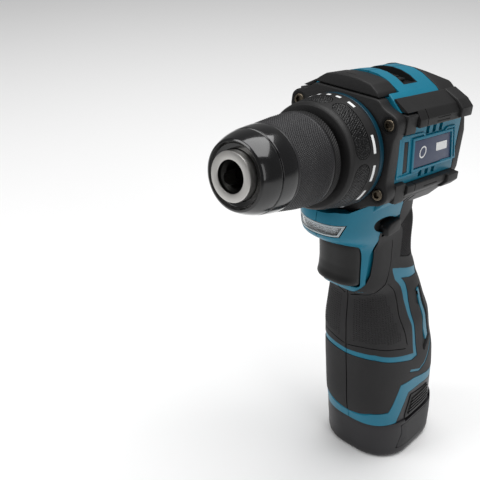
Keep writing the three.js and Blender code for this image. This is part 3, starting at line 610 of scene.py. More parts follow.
# Near-black steel: painted shade for the deep bore of the chuck and for the jaws inside it.
BORE_SHADE = machined("bore_and_jaw_painted_shade", (0.03, 0.03, 0.028), 0.4)
BRASS = machined("brass", (0.72, 0.50, 0.20), 0.3)
COPPER = machined("rotor_windings", (0.48, 0.22, 0.12), 0.36)
WHITE = textured("white_mark", (0.72, 0.73, 0.73), 0.45, grain=900, bump=0.1, spread=0.04)
NAVY = textured("label_print", (0.020, 0.034, 0.085), 0.32, grain=800, bump=0.05)
BOARD = textured("circuit_board", (0.02, 0.15, 0.06), 0.4, grain=500, bump=0.2)
JACKET = textured("cell_jacket", (0.05, 0.20, 0.45), 0.3, grain=300, bump=0.1)
LIGHT_BOARD = textured("light_board", (0.80, 0.76, 0.55), 0.4, grain=500, bump=0.2)
MIRROR = pebbled("reflector", (0.30, 0.31, 0.32), 0.3, 1500, 0.0003)
MIRROR.node_tree.nodes["Principled BSDF"].inputs["Metallic"].default_value = 1.0
RIM = textured("lens_rim", (0.42, 0.47, 0.49), 0.2, grain=900, bump=0.1)
LENS, _, _, glass = shader("clear_lens", (0.93, 0.96, 0.97), 0.06)
glass.inputs["Transmission Weight"].default_value = 1.0
glass.inputs["IOR"].default_value = 1.45


# ---- finishing a piece ----------------------------------------------------------------------------
def piece(obj, name, material, body, nodes=(), head=False, smooth=32):
    """Names and paints a solid, turns it to metres and lets it ride on its body."""
    obj.name = name
    obj.data.name = name
    obj.data.transform(Matrix.Scale(0.001, 4))
    obj.data.materials.clear()
    obj.data.materials.append(material)
    obj.data.shade_smooth()
    obj.data.set_sharp_from_angle(angle=math.radians(smooth))
    if head:
        place = HEAD.copy()
        place.translation *= 0.001
        obj.matrix_world = place
    if nodes:
        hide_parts(*nodes)
    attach(obj, body)
    return obj


def both_sides(obj, name, material, body, node=None, head=False, smooth=32):
    """The piece on the left, and its mirror image on the right."""
    for word, half in (("right", flipped(obj)), ("left", obj)):
        nodes = [f"{node}_{word}"] if node else []
        piece(half, f"{name}_{word}", material, body, nodes, head, smooth)


# ---- chuck --------------------------------------------------------------------------------------
def jaw_line(third):
    around = Matrix.Rotation(third * 2 * math.pi / 3, 4, "Y")
    lean = Matrix.Rotation(JAW_ANGLE, 4, "X")
    return around @ Matrix.Translation((0, JAW_TIP_Y, JAW_TIP_RADIUS)) @ lean


def chuck_body():
    body = turned([
        (7, -75), (10.7, -75), (10.7, -63.2), (14, -61.2), (14, -28.2), (5.2, -28.2), (5.2, -25.4),
        (4.6, -25.4), (4.6, -40), (5.6, -42), (5.6, -71), (7, -73),
    ], 144, soft=0.45)
    for third in range(3):
        slot = moved(rod(JAW_RADIUS + GAP, -3, 47, segments=32), jaw_line(third))
        limit = slab("y", [(-30, -30), (30, -30), (30, 30), (-30, 30)], -74.5, -31)
        body = cut(body, common(slot, limit))
    return body


def jaw(third):
    bar = moved(rod(JAW_RADIUS, -1, JAW_LENGTH, segments=40), jaw_line(third))
    reach = 12
    spread = reach * math.tan(math.pi / 3)
    wedge = slab("y", [(0, 0.45), (spread, reach + 0.45), (-spread, reach + 0.45)], -73.8, -40)
    wedge = moved(wedge, Matrix.Rotation(third * 2 * math.pi / 3, 4, "Y"))
    back = jaw_line(third).to_3x3() @ Vector((0, JAW_RETRACTION, 0))
    return moved(common(bar, wedge), Matrix.Translation(back))


KNURLS_ROUND = 120
KNURL_PITCH = 1.3


def knurl(angle, r, y):
    """Crossed diagonal grooves on the sleeve's cylinder, fading at both ends."""
    if r < 19 or y < -54 or y > -33.4:
        return 0
    fade = min(1, (y + 54) / 0.8, (-33.4 - y) / 0.8)
    turns = angle * KNURLS_ROUND
    along = y * 2 * math.pi / KNURL_PITCH
    ridge = min(abs(math.sin((turns + along) / 2)), abs(math.sin((turns - along) / 2)))
    return -0.34 * fade * (1 - ridge) ** 1.5


def sleeve():
    fine = [(19.1 + 1.4 * k / 64, -54.0 + 12 * k / 64) for k in range(65)]
    fine += [(20.5 + 0.6 * k / 46, -42 + 8.6 * k / 46) for k in range(1, 47)]
    profile = [(17.9, -54.5), (18.9, -54.5), *fine, (21.1, -32.9), (20.8, -32.3), (18.9, -32.2),
               (18.9, -45.5), (17.9, -46.5)]
    return turned(profile, 840, relief=knurl)


def hatch(angle, r, y):
    if r < 20.3 or y < -31.2 or y > -28.2:
        return 0
    return 0.16 * math.sin(110 * angle + 3.2 * y)


nose = piece(chuck_body(), "chuck_nose", STEEL, "spindle", ["chuck_body"], head=True)
nose.data.materials.append(BORE_SHADE)
# Faces inside the bore get the near-black steel as painted shade of the deep hole.
for face in nose.data.polygons:
    middle = face.center * 1000
    if math.hypot(middle.x, middle.z) < 7.2 and middle.y > -74.3:
        face.material_index = 1
# The jaws are black-oxide steel, and their near-black also stands for painted shade deep in the bore.
for third in range(3):
    piece(jaw(third), f"jaw_{third + 1}", BORE_SHADE, f"jaw_{third + 1}", [f"chuck_jaw_{third + 1}"],
          head=True)
piece(turned([
    (11, -71), (13.2, -71), (14.1, -72.7), (15.2, -72.2), (16.4, -69.6), (17.2, -67.4),
    (18.1, -63.9),
    (17.6, -63.7), (17.6, -63.3), (18.25, -63.1), (18.9, -57.5), (19.1, -54.85), (14.4, -54.85),
    (14.4, -61.8), (11, -63.8),
], 192, soft=0.3), "chuck_cap", GLOSS, "chuck_sleeve", ["chuck_front_cap"], head=True)
piece(sleeve(), "chuck_sleeve_knurled", KNURL, "chuck_sleeve", ["chuck_grip_sleeve"],
      head=True, smooth=60)
rear_ring = [(14.3, -31.8), (20.2, -31.8)]
rear_ring += [(20.85, -31.4 + 0.2 * k) for k in range(17)]
rear_ring += [(20, -27.2), (14.3, -27.2)]
piece(turned(rear_ring, 660, relief=hatch), "chuck_ring_rear", CHARCOAL, "spindle",
      ["chuck_rear_ring"], head=True, smooth=60)

# ---- torque collar --------------------------------------------------------------------------------
PAD_REACH = math.radians(33)


def collar_radius(y):
    return float(np.interp(y, [-24.6, -23, -8.4, -6.4], [23.2, 24.2, 26.3, 26.5]))


def collar_patch(middle, y_middle, reach, half, rise, sink, columns, rows, relief=None, round_ends=True):
    """A raised patch on the collar, long round the axis, with rounded ends."""
    radius = collar_radius(y_middle)
    straight = reach * radius - (half if round_ends else 0)
    points, faces = [], []
    for j in range(rows + 1):
        t = -math.cos(math.pi * j / rows)
        extent = straight + (half * math.sqrt(max(0, 1 - t * t)) if round_ends else 0)
        for i in range(columns + 1):
            s = -1 + 2 * i / columns
            y = y_middle + t * half
            angle = middle + s * extent / radius
            edge = min(1, (1 - abs(s)) * extent / 0.5, (1 - abs(t)) * half / 0.5)
            lift = rise * (0.55 + 0.45 * math.sqrt(max(0, edge)))
            lift += relief(s * extent, t * half) * min(1, edge) if relief else 0
            r = collar_radius(y) + lift
            points.append((r * math.sin(angle), y, r * math.cos(angle)))
    top = len(points)
    for x, y, z in list(points):
        r = math.hypot(x, z)
        scale = (collar_radius(y) - sink) / r
        points.append((x * scale, y, z * scale))
    wide = columns + 1
    for j in range(rows):
        for i in range(columns):
            a, b = j * wide + i, j * wide + i + 1
            c, d = (j + 1) * wide + i + 1, (j + 1) * wide + i
            faces.append((a, b, c, d))
            faces.append((top + d, top + c, top + b, top + a))
    border = [j for j in range(wide)]
    border += [j * wide + columns for j in range(1, rows + 1)]
    border += [rows * wide + columns - j for j in range(1, wide)]
    border += [(rows - j) * wide for j in range(1, rows)]
    for a, b in zip(border, border[1:] + border[:1]):
        faces.append((b, a, top + a, top + b))
    return points, faces


def pebble(u, v):
    row = round(v / 1.05)
    shift = 0.6 if row % 2 else 0
    du = (u - shift) - 1.2 * round((u - shift) / 1.2)
    dv = v - 1.05 * row
    return 0.28 * max(0, 1 - (du * du + dv * dv) / 0.3)


def merged(parts):
    points, faces = [], []
    for more_points, more_faces in parts:
        first = len(points)
        points += more_points
        faces += [tuple(first + i for i in face) for face in more_faces]
    return solid(points, faces)


collar = turned([
    (18.2, -24.6), (23.2, -24.6), (24.2, -23), (26.3, -8.4), (26.5, -6.4),
    (17.8, -6.4), (17.8, -9), (21.3, -9), (21.3, -23.2), (18.2, -23.2),
], 216, soft=0.5)
pad_turns = [math.radians(46 + 360 * k / COLLAR_PADS) for k in range(COLLAR_PADS)]
for turn in pad_turns:
    recess = merged([collar_patch(turn, -17, PAD_REACH + 0.012, 4.7, 2.0, 0.8, 84, 24)])
    collar = cut(collar, recess)
piece(collar, "collar_shell", CHARCOAL, "collar", ["torque_collar"], head=True)
pads = merged([collar_patch(t, -17, PAD_REACH, 4.4, -0.05, 0.75, 150, 44, pebble) for t in pad_turns])
piece(pads, "collar_pads", PAD, "collar", ["collar_grip_ring"], head=True, smooth=70)
TICKS = [(-30, 1.3), (-19, 1.6), (-7, 2.0), (4.5, 2.5), (21, 4), (67, 8.2), (96, 7.6), (123, 6.4),
         (150, 1.6), (164, 2.2), (180, 2.8), (198, 3.4), (220, 4.4), (246, 5.6), (276, 7), (306, 7.6)]
ticks = [collar_patch(math.radians(angle), -9.9, length / 52, 0.75, 0.07, 0.3, 16, 4, round_ends=False)
         for angle, length in TICKS]
piece(merged(ticks), "collar_scale_marks", WHITE, "collar", head=True)
piece(turned([(17.7, -6), (26.2, -6), (26.4, -5.7), (26.4, -3.4), (26.2, -3.1), (17.7, -3.1)], 216,
             soft=0.2), "base_ring", DARK_TEAL, "housing", ["collar_base_ring"], head=True)


# ---- gear case and its screws ----------------------------------------------------------------------
def gear_case():
    body = turned([
        (9.3, -24), (17.4, -24), (17.4, -1.8), (21, -1.8), (21, 13.6), (9, 13.6), (9, 11.6),
        (15.6, 11.6), (15.6, -15.6), (9.3, -15.6),
    ], 128, soft=0.3)
    plate = slab("y", rounded(FLANGE_OUTLINE, 2.2), -2, 5.5, edge=0.7)
    body = joined(body, cut(plate, rod(16, -5, 8, segments=128)))
    for x, z in FLANGE_SCREWS.values():
        lug = box(*outside(math.copysign(1, x), 20.8, 30.2), 5, 13.5, z - 4.4, z + 4.4, edge=0.4)
        body = joined(body, lug)
    for x, z in FLANGE_SCREWS.values():
        body = cut(body, rod(3.9, -4, 0.4, x, z), rod(1.8, -1, 15, x, z, segments=24))
    return body


def flange_screw(x, z):
    shape = turned([(0, -2.4), (2.35, -2.4), (2.7, -2.0), (2.7, 0.1), (1.45, 0.1), (1.45, 21), (0, 21)],
                   64, soft=0.2)
    shape = cut(shape, rod(1.75, -4, -1.0, segments=6))
    return moved(shape, Matrix.Translation((x, 0, z)))


piece(gear_case(), "gear_case_shell", CHARCOAL, "housing", ["gear_case"], head=True)
for name, (x, z) in FLANGE_SCREWS.items():
    piece(flange_screw(x, z), f"cap_screw_{name}", DARK_STEEL, "housing", [f"flange_screw_{name}"],
          head=True)
    # A near-black liner in each counterbore: painted shade of the screw's hole.
    well = turned([(2.9, -1.95), (3.85, -1.95), (3.85, 0.3), (2.9, 0.3)], 64)
    piece(moved(well, Matrix.Translation((x, 0, z))), f"screw_shade_liner_{name}", RECESS_SHADE, "housing", head=True)
shroud = slab("y", rounded(SHROUD_OUTLINE, 0.9), -1.4, 14, edge=0.6)
shroud = cut(shroud, box(-4.5, 0.5, 3, 3.6, 34, 40))
piece(shroud, "shroud", CHARCOAL, "housing", ["top_shroud"], head=True)


# ---- housing ------------------------------------------------------------------------------------
def rear_slope(lift):
    return slab("x", [(44, 35.6 + lift), (64, 28.5 + lift), (64, 60), (44, 60)], -40, 40)


def battery_bore(grow):
    half = CELL_PITCH / 2 + CELL_RADIUS + 0.3 + STICK_WALL + grow
    outline = rounded_rectangle(half, half, CELL_RADIUS + 1.2 + grow, STICK_Y)
    return slab("z", outline, 20, STICK_TOP + 3)


def rounded_rectangle(half_x, half_y, corner, centre_y, steps=12):
    outline = []
    for quarter, (sx, sy) in enumerate(((1, 1), (-1, 1), (-1, -1), (1, -1))):
        for i in range(steps + 1):
            turn = math.pi / 2 * (quarter + i / steps)
            outline.append((sx * (half_x - corner) + corner * math.cos(turn),
                            centre_y + sy * (half_y - corner) + corner * math.sin(turn)))
    return outline


def lever_window():
    return box(-30, 30, -46.6, -33.4, 159.4, 167.6)


def lens_outline(grow):
    return grown([(13.4, 172.6), (-13.4, 172.6), (-11, 166.4), (11, 166.4)], grow)


def head_body():
    outline = rounded(HEAD_OUTLINE, 2.2)
    hood = slab("y", outline, 5.8, 60, edge=0.5)
    hood = cut(hood, box(-40, 40, 46.2, 70, 23.3, 50), rear_slope(0))
    return in_head(hood)


def housing_shell():
    shell = joined(grip(), head_body())
    shell = cut(shell, in_head(rod(28.7, -60, 5.7, segments=128)))
    space = common(grip(SHELL_DEPTH), box(-40, 40, -80, 40, 96, 183.9))
    space = cut(space, in_head(rod(31, -60, 5.7, segments=128)))
    shell = cut(shell, space, in_head(slab("y", CAVITY_OUTLINE, 0, 60.4)), battery_bore(0.35))
    for y, z, _ in HOUSING_SCREWS.values():
        shell = joined(shell, common(rod_x(3.4, -24, 24, y, z), grip()))
    for y in (21, 44):
        rib = cut(slab("y", CAVITY_OUTLINE, y, y + 2), rod(18, y - 1, y + 3, segments=96))
        shell = joined(shell, in_head(rib))
    bed = slab("x", grown(OVERMOLD_OUTLINE, GAP), -40, 40)
    shell = cut(shell, cut(bed, grip(OVERMOLD_DEPTH + GAP), head_body()))
    shell = cut(shell, slab("x", grown(EAR_OUTLINE, GAP), -40, 40))
    shell = cut(shell, in_head(slab("y", grown(FLANGE_OUTLINE, GAP), -9, 5.8)))
    shell = cut(shell, in_head(box(-40, 40, -9, 5.8, 0, 40)))
    for x, z in FLANGE_SCREWS.values():
        lug = box(*outside(math.copysign(1, x), 20.5), 0, 13.8, z - 4.7, z + 4.7)
        shell = cut(shell, in_head(lug), in_head(rod(1.8, 5, 22, x, z, segments=24)))
    shell = cut(shell, in_head(rod(21.6, 0, 14)), in_head(box(-17.9, 17.9, 0, 14.3, 27.5, 50)))
    for sign in (1, -1):
        side_cuts = [
            box(*outside(sign, 27.1), 13.7, 61, 15.5, 23.5),
            box(*outside(sign, 27.1), 13.7, 61, -18.3, -11.5),
            slab("x", grown(LABEL_OUTLINE, GAP), *outside(sign, 27.2)),
            slab("x", SIDE_SLOT, *outside(sign, 26.2)),
        ]
        for y in VENTS:
            side_cuts.append(box(*outside(sign, 18), y, y + VENT_WIDTH, 10.6, 14.4))
            side_cuts.append(box(*outside(sign, 18), y, y + VENT_WIDTH, -10.4, -7.4))
        shell = cut(shell, slab("x", DISH, *outside(sign, 17.1)), *[in_head(part) for part in side_cuts])
    shell = cut(shell, in_head(box(-14.6, 14.6, 22.9, 35.1, 30.3, 40)))
    shell = cut(shell, in_head(box(-3.6, 3.6, 24.8, 33.2, 25, 40)))
    opening = rounded([(-12.7, 129.9), (12.7, 129.9), (12.7, 157), (-12.7, 157)], 2.5)
    opening = slab("y", opening, -90, -40)
    shell = cut(shell, opening, lever_window(), slab("y", lens_outline(GAP), -80, -60))
    shell = cut(shell, box(-10.4, 10.4, STICK_Y - 6.4, STICK_Y + 6.4, 88, 98))
    for y, z, half in HOUSING_SCREWS.values():
        shell = cut(shell, rod_x(1.5, -half, 9, y, z), rod_x(2.9, -30, 2.6 - half, y, z))
    return shell


# A dark oval dish round the direction lever, on each side: middle, half length and width, slope.
DISH_PLACE, DISH_REACH, DISH_TILT = Vector((-44.6, 166.2)), (10.6, 4.5), math.radians(-20)
DISH = []
for u, v in circle(1, count=40):
    point = Matrix.Rotation(DISH_TILT, 2) @ Vector((DISH_REACH[0] * u, DISH_REACH[1] * v))
    DISH.append(tuple(DISH_PLACE + point))
SIDE_SLOT = [(9.2, 9.2), (13, 8.9), (16, -6.2), (12.2, -6.6)]
VENTS, VENT_WIDTH = (27, 33, 39), 3
shell = housing_shell()
for name, sign in SIDES.items():
    half_space = box(*outside(sign, 0.15, 60), -120, 60, -5, 260)
    piece(common(copied(shell), half_space), f"shell_{name}", TEAL, "housing", [f"housing_{name}"])
bpy.data.objects.remove(shell)

# Black well of the speed selector in the roof.
roof = slab("y", grown(rounded(HEAD_OUTLINE, 2.2), -0.1), 20, 40)
well = common(box(-14.5, 14.5, 23, 35, 30.4, 40), roof)
well = cut(well, box(-13.8, 13.8, 23.7, 34.3, 30.8, 40), box(-3.6, 3.6, 24.8, 33.2, 25, 40))
piece(well, "selector_well", BLACK, "housing", head=True)

# Raised frames round the side panel and the label, and the dark slot ahead of the label.
panel = [(3.4, 12.6), (24.6, 12.0), (27.2, 9.6), (43.5, 9.6), (46, 11.6), (54, 11.6), (60.6, -6.4),
         (47, -6.2), (44, -6.9), (28, -6.9), (25, -8.2), (6.4, -8.4)]
frame_bar = cut(slab("x", rounded(panel, 0.6), 27.4, 28.7, edge=0.3),
                slab("x", grown(panel, -1.1), 20, 40))
both_sides(frame_bar, "panel_frame", TEAL, "housing", head=True)
label_frame = cut(slab("x", rounded(grown(LABEL_OUTLINE, 1.7), 0.6), 27.4, 28.9, edge=0.35),
                  slab("x", grown(LABEL_OUTLINE, 0.3), 20, 40))
both_sides(label_frame, "label_frame", TEAL, "housing", head=True)
both_sides(slab("x", grown(SIDE_SLOT, -0.15), 26.25, 27.9, edge=0.3), "slot_insert", BLACK, "housing",
           head=True)
both_sides(slab("x", rounded(LABEL_OUTLINE, 0.8), 27.5, 28.4, edge=0.25), "label", NAVY, "housing",
           "label_plate", head=True)
mark = slab("x", rounded([(38.5, 4.6), (48.6, 4.6), (49.9, 0.4), (39.7, 0.4)], 0.6), 28.35, 28.5)
both_sides(mark, "label_bar", WHITE, "housing", head=True)
ring = cut(rod_x(3, 28.35, 28.5, 27, 1.9, 24), rod_x(2.3, 20, 40, 27, 1.9, 24))
both_sides(ring, "label_ring", WHITE, "housing", head=True)


# ---- rails and rear cap ---------------------------------------------------------------------------
def rail(upper):
    if upper:
        long_part = [(27.5, 15.8), (31.6, 15.8), (31.6, 19.6), (29, 23.2), (21.4, 27.8), (20.8, 27.5),
                     (27.5, 21.7)]
        wing = [(27.5, 15.8), (33, 16.6), (33, 21.2), (29.4, 24.6), (21.6, 28.2), (20.9, 27.6),
                (27.5, 21.8)]
    else:
        long_part = [(27.4, -11.8), (31.2, -11.8), (31.2, -15.4), (29, -18), (27.4, -18)]
        wing = [(27.4, -11.8), (32.6, -12.2), (32.6, -16), (29.4, -19.4), (27.4, -19.4)]
    shape = joined(slab("y", rounded(long_part, 0.5), 14.1, 52, edge=0.4),
                   slab("y", rounded(wing, 0.5), 49.4, 60, edge=0.6))
    if upper:
        shoulder = [(28.2, 23.1), (29, 23.2), (21.4, 27.8), (20.8, 27.5), (26, 23.1)]
        shape = joined(shape, slab("y", shoulder, 5.9, 14.5))
    shape = cut(shape, box(28.6, 40, 20.5, 21, -30, 30))
    face, top_groove = (31.3, 18.6) if upper else (30.9, -14.6)
    for k in range(3):
        z = top_groove - 1.6 * k
        shape = cut(shape, box(face, 40, 29, 41, z, z + 0.4))
    return shape


for level in ("upper", "lower"):
    both_sides(rail(level == "upper"), f"rail_{level}", CHARCOAL, "housing",
               f"{level}_rail", head=True)

# A dark strip with two slots under each lower rail, along the head's lower slope.
strip_face = [(28.2, -14.6), (26.4, -20.2), (19.2, -28.3), (18.6, -27.6), (25.8, -19.8), (27.4, -14.6)]
slots = [box(10, 40, y, y + 2.2, -27, -21.6) for y in (27.5, 32.2)]
both_sides(cut(slab("y", strip_face, 21, 59, edge=0.3), *slots), "under_strip", CHARCOAL, "housing",
           head=True)


def outline_ring(outline, y, scale):
    return [(x * scale, y, z * scale) for x, z in outline]


def rear_cap():
    outer = rounded(REAR_OUTLINE, 2)
    dome = [(60.3, 1), (64.5, 1.01), (66.5, 0.985), (68, 0.93), (69.3, 0.86), (70.2, 0.76), (71, 0.5)]
    inner = [(50, 0.94), (63.5, 0.94), (67.5, 0.8), (68.8, 0.5)]
    shape = loft([outline_ring(outer, y, s) for y, s in dome])
    hollow = loft([outline_ring(CAVITY_OUTLINE, y, s) for y, s in inner])
    hood = rounded([(x * 1.01, z * 1.01) for x, z in HEAD_OUTLINE], 2)
    visor = common(slab("y", hood, 46.5, 61, edge=0.4), box(-27, 27, 40, 70, 23.6, 50))
    visor = cut(visor, rear_slope(0.3))
    return cut(joined(shape, visor), hollow)


piece(rear_cap(), "cap_rear", CHARCOAL, "housing", ["rear_cap"], head=True)

# ---- overmould ------------------------------------------------------------------------------------
UPPER_EDGE = [
    (BACK_SEAM - 0.15, 168), side(-10, 170), side(-20, 174), side(-32.8, 179), side(-33, 165.5),
    side(-31.5, 158), side(-37, 157.2), side(-44, 162), side(-48.4, 163.6), side(-48.4, 152),
    side(-47.8, 144.3), side(-48.4, 137), side(-50, 132.4), front(11.6, 128.6), front(7.2, 125),
    front(3.2, 121.8),
    (FRONT_SEAM + 0.15, 120.6),
]
LOWER_EDGE = [
    (FRONT_SEAM + 0.15, 33), front(8, 34.6), front(14.8, 37.2), side(-26, 37.6), side(-24.4, 42.2),
    side(-20.3, 55.4), side(-7.6, 54.2), side(9.4, 49.2), (BACK_SEAM - 0.15, 43),
]
ACCENT = [
    side(-30.6, 134), side(-23.5, 131.2), side(-8.9, 125.6), side(-5, 124.4), side(-4.6, 119.6),
    side(-14, 121.6),
    side(-22, 124.6), side(-16.6, 109), side(-12.4, 92.8), side(-7.2, 69.4), side(-12.8, 69.2),
    side(-24.8, 73.6),
    front(16.4, 77.9), front(10, 78.2), (FRONT_SEAM + 0.15, 77.3), (FRONT_SEAM + 0.15, 80.4),
    front(10, 81.6),
    front(16.3, 81.6), side(-25.2, 77.4), side(-11.2, 73), side(-15, 94), side(-21.2, 112),
    side(-29.4, 129.6),
]
RECESS = [
    side(-11.5, 112.8), side(-2.6, 112.6), side(-0.2, 104), side(3.5, 88), side(8.4, 74.5),
    side(1, 68), side(-1.2, 71),
    side(-2.2, 78), side(-5.6, 101), side(-9.4, 104.4),
]
STRIP_OUTLINE = [
    side(-5.4, 110.6), side(-3.4, 110.6), side(-1, 100), side(2.4, 89), side(6.6, 76),
    side(3.4, 74.4), side(-0.6, 84),
    side(-3.6, 100),
]
HOOK = strip([side(-13, 61.6), side(-3, 57), side(3, 59), side(10, 68), side(13.2, 74)], 1.7)
STRAP = [side(-30.2, 160), side(-20, 164.4), side(-13, 166.4), (BACK_SEAM - 3, 167),
         (BACK_SEAM - 3, 133.4), side(-14, 134.2), side(-24.6, 138.6)]
GROOVES = [
    strip([front(1.6, 117.6), front(11.9, 121.6), side(-42.3, 125.2), side(-36.7, 127.6),
           side(-34.2, 131.9), side(-33, 138.4), side(-34.4, 152.6)], 0.55),
    strip([side(-34.2, 126.4), side(-25.8, 105), side(-18.2, 82)], 0.55),
    strip([front(1.0, 84), front(9.9, 86), front(16.2, 86), side(-28.2, 83.4), side(-19.4, 80.4)], 0.55),
]
over_outline = grown(LOWER_EDGE + UPPER_EDGE, -0.1)
PROUD = 0.14  # how far the overmould stands above the housing
holes = [grown(ACCENT, 0.12), RECESS, grown(HOOK, 0.12), STRAP, *GROOVES]


def clear_of_controls(obj, left):
    obj = cut(obj, lever_window(), slab("x", grown(DISH, 0.2), -40, 40))
    if not left:
        for y, z, half in HOUSING_SCREWS.values():
            obj = cut(obj, rod_x(3, -30, 3.4 - half, y, z))
    return obj


def overmolded(left, name, material, node=None):
    """A layer of the overmould on each side, open where the lever and the screws are."""
    for word, half in (("right", flipped(left)), ("left", left)):
        nodes = [f"{node}_{word}"] if node else []
        piece(clear_of_controls(half, word == "left"), f"{name}_{word}", material, "housing", nodes)


overmolded(skin(over_outline, holes, -PROUD, 1.0), "overmold", RUBBER, "grip_overmold")
# A near-black sheet under the overmould shows through its grooves and recess: painted shade in them.
overmolded(skin(over_outline, (), 1.02, 1.18, spacing=3), "overmold_groove_shade", RECESS_SHADE)
both_sides(skin(ACCENT, (), 0.12, 0.98), "accent", TEAL, "housing")
both_sides(skin(HOOK, (), 0.12, 0.98), "accent_hook", TEAL, "housing")
both_sides(skin(STRIP_OUTLINE, (), 0.35, 0.98), "accent_strip", TEAL, "housing")


def serration(u, v):
    phase = (v - 0.3 * u) / 1.7
    return 0.9 * abs(2 * (phase - math.floor(phase + 0.5))) - 0.6


strap = skin(grown(STRAP, -0.3), (), 0.1, 0.98, spacing=0.42, relief=serration)
both_sides(strap, "strap", RIBBED, "housing", smooth=50)
DOTTED = [front(2.4, 116), front(10.5, 119), side(-41.4, 122.6), side(-37, 122.6), side(-28.4, 105),
          side(-21.4, 86.2), side(-28.6, 86.4), front(16, 88.6), front(2.4, 87)]
both_sides(dots(DOTTED, 1.4, 0.4, 0.3, outer=-PROUD), "grip_dots", RUBBER, "housing",
           smooth=60)

# ---- screws, light, controls ------------------------------------------------------------------------
for name, (y, z, half) in HOUSING_SCREWS.items():
    head = rod_x(2.5, 0.8 - half, 2.4 - half, y, z)
    head = joined(head, rod_x(1.2, 2 - half, 8, y, z, segments=24))
    star = []
    for k in range(12):
        r = 1.5 if k % 2 == 0 else 0.9
        star.append((y + r * math.cos(k * math.pi / 6), z + r * math.sin(k * math.pi / 6)))
    head = cut(head, slab("x", star, 0.7 - half, 1.7 - half))
    piece(head, f"case_screw_{name}", DARK_STEEL, "housing", [f"housing_screw_{name}"])

lens_skin = [front(13.2, 172.4), front(0.01, 172.4), (2 * FRONT_SEAM - front(13.2, 172.4)[0], 172.4),
             (2 * FRONT_SEAM - front(10.8, 166.6)[0], 166.6), front(0.01, 166.6), front(10.8, 166.6)]
piece(skin(lens_skin, (), 0.3, 1.1), "light_lens", LENS, "housing", ["led_lens"])
piece(skin(grown(lens_skin, 0.05), [grown(lens_skin, -0.75)], 0.15, 1.8), "light_rim", RIM, "housing")
piece(skin(lens_skin, (), 2.0, 2.3), "light_reflector", MIRROR, "housing")

# Height and place of the blade's front, from the bottom up.
TRIGGER_FRONT = [(130.8, -57.0), (132.2, -59.6), (134, -60.5), (137.4, -59.5), (142, -59.1),
                 (147, -59.5), (153, -60.1), (156.2, -59.8)]
BLADE_CORNER = (10.6, 6.6)


def trigger():
    rings = []
    low, high = TRIGGER_FRONT[0][0], TRIGGER_FRONT[-1][0]
    heights = [low, 131, 131.4, 132, 132.8] + [133 + 22 * k / 24 for k in range(1, 25)] + [155.7, high]
    for z in heights:
        reach = float(np.interp(z, *zip(*TRIGGER_FRONT)))
        inset = max(0, 1.6 - (z - low)) * 0.8 + max(0, 0.6 - (high - z)) * 0.8
        half = 12.2 - inset
        outline = []
        for k in range(13):
            turn = math.pi / 2 * k / 12
            x = half - BLADE_CORNER[0] * (1 - math.cos(turn))
            outline.append((x, reach + inset + BLADE_CORNER[1] * (1 - math.sin(turn))))
        ring = [(x, y, z) for x, y in outline]
        ring += [(-x, y, z) for x, y in reversed(outline)]
        ring += [(-half, -44, z), (half, -44, z)]
        rings.append(ring)
    blade = loft(rings)
    stem = moved(rod(3, -44.5, -28), Matrix.Translation((0, 0, 144)))
    return joined(blade, stem)


piece(trigger(), "trigger_blade_shell", TRIGGER, "trigger_blade", ["trigger"],
      smooth=40)

# The near-black sheet at the bottom of each lever dish is painted shade in the recess.
both_sides(cut(slab("x", grown(DISH, -0.05), 17.12, 17.5), lever_window()), "lever_dish", RECESS_SHADE, "housing")


def lever():
    bar = box(-18.4, 18.4, -46, -39, 160, 165.4, edge=0.4)
    outline = [(-46, 160.6), (-44.6, 160), (-35.4, 160), (-34, 162.2), (-34.4, 166.4), (-36, 167.1),
               (-43.4, 166.6), (-46, 164.6)]
    ends = [slab("x", rounded(outline, 1.0), *outside(sign, 16.4, 22), edge=0.8) for sign in (1, -1)]
    return joined(bar, *ends)


piece(lever(), "lever_bar", CHARCOAL, "lever", ["direction_lever"])


def selector():
    plate = box(-11.1, 11.1, 24, 29.3, 31.1, 32.7, edge=0.35)
    shape = joined(plate, box(-3.3, 3.3, 25.1, 28.1, 26.4, 31.5))
    for y in (24.8, 26.3, 27.8):
        shape = joined(shape, box(-8, 8, y, y + 0.7, 32.3, 33.25, edge=0.2))
    return shape


piece(selector(), "selector_slider", BLACK, "selector", ["speed_selector"], head=True)


# ---- battery --------------------------------------------------------------------------------------
def through_side(outline, sign):
    return slab("x", outline, *outside(sign, 15))


CELLS = [(CELL_PITCH / 2 * right, STICK_Y + CELL_PITCH / 2 * rear)
         for right, rear in ((1, -1), (-1, -1), (1, 1), (-1, 1))]


def foot(grow=0.0):
    levels = [(0, 3.0, 0), (0.25, 2.1, 0), (0.9, 1.15, 0), (2.0, 0.45, 0), (3.4, 0.1, 0), (5, 0, 0),
              (10, 0, 0.3), (16, 0, 0.8), (22, 0.25, 1.3), (25.4, 0.5, 1.7), (26.1, 0.7, 1.75),
              (FOOT_TOP, 1.2, 1.8)]
    rings = []
    for z, inset, shift in levels:
        inset -= grow
        outline = rounded_rectangle(FOOT_HALF_X - inset, FOOT_HALF_Y - inset + 0.4 * shift,
                                    FOOT_CORNER - inset - shift, -shift)
        rings.append([(x, y, z) for x, y in outline])
    return loft(rings)


FOOT_PANEL = [(-16.2, 23.4), (-15, 18), (-17.4, 6.6), (14, 6.6), (17, 11), (17, 23.4)]
LATCH_SHADOW = [(-13.2, 24.6), (17, 24.6), (17, 26.7), (-12.8, 26.7)]


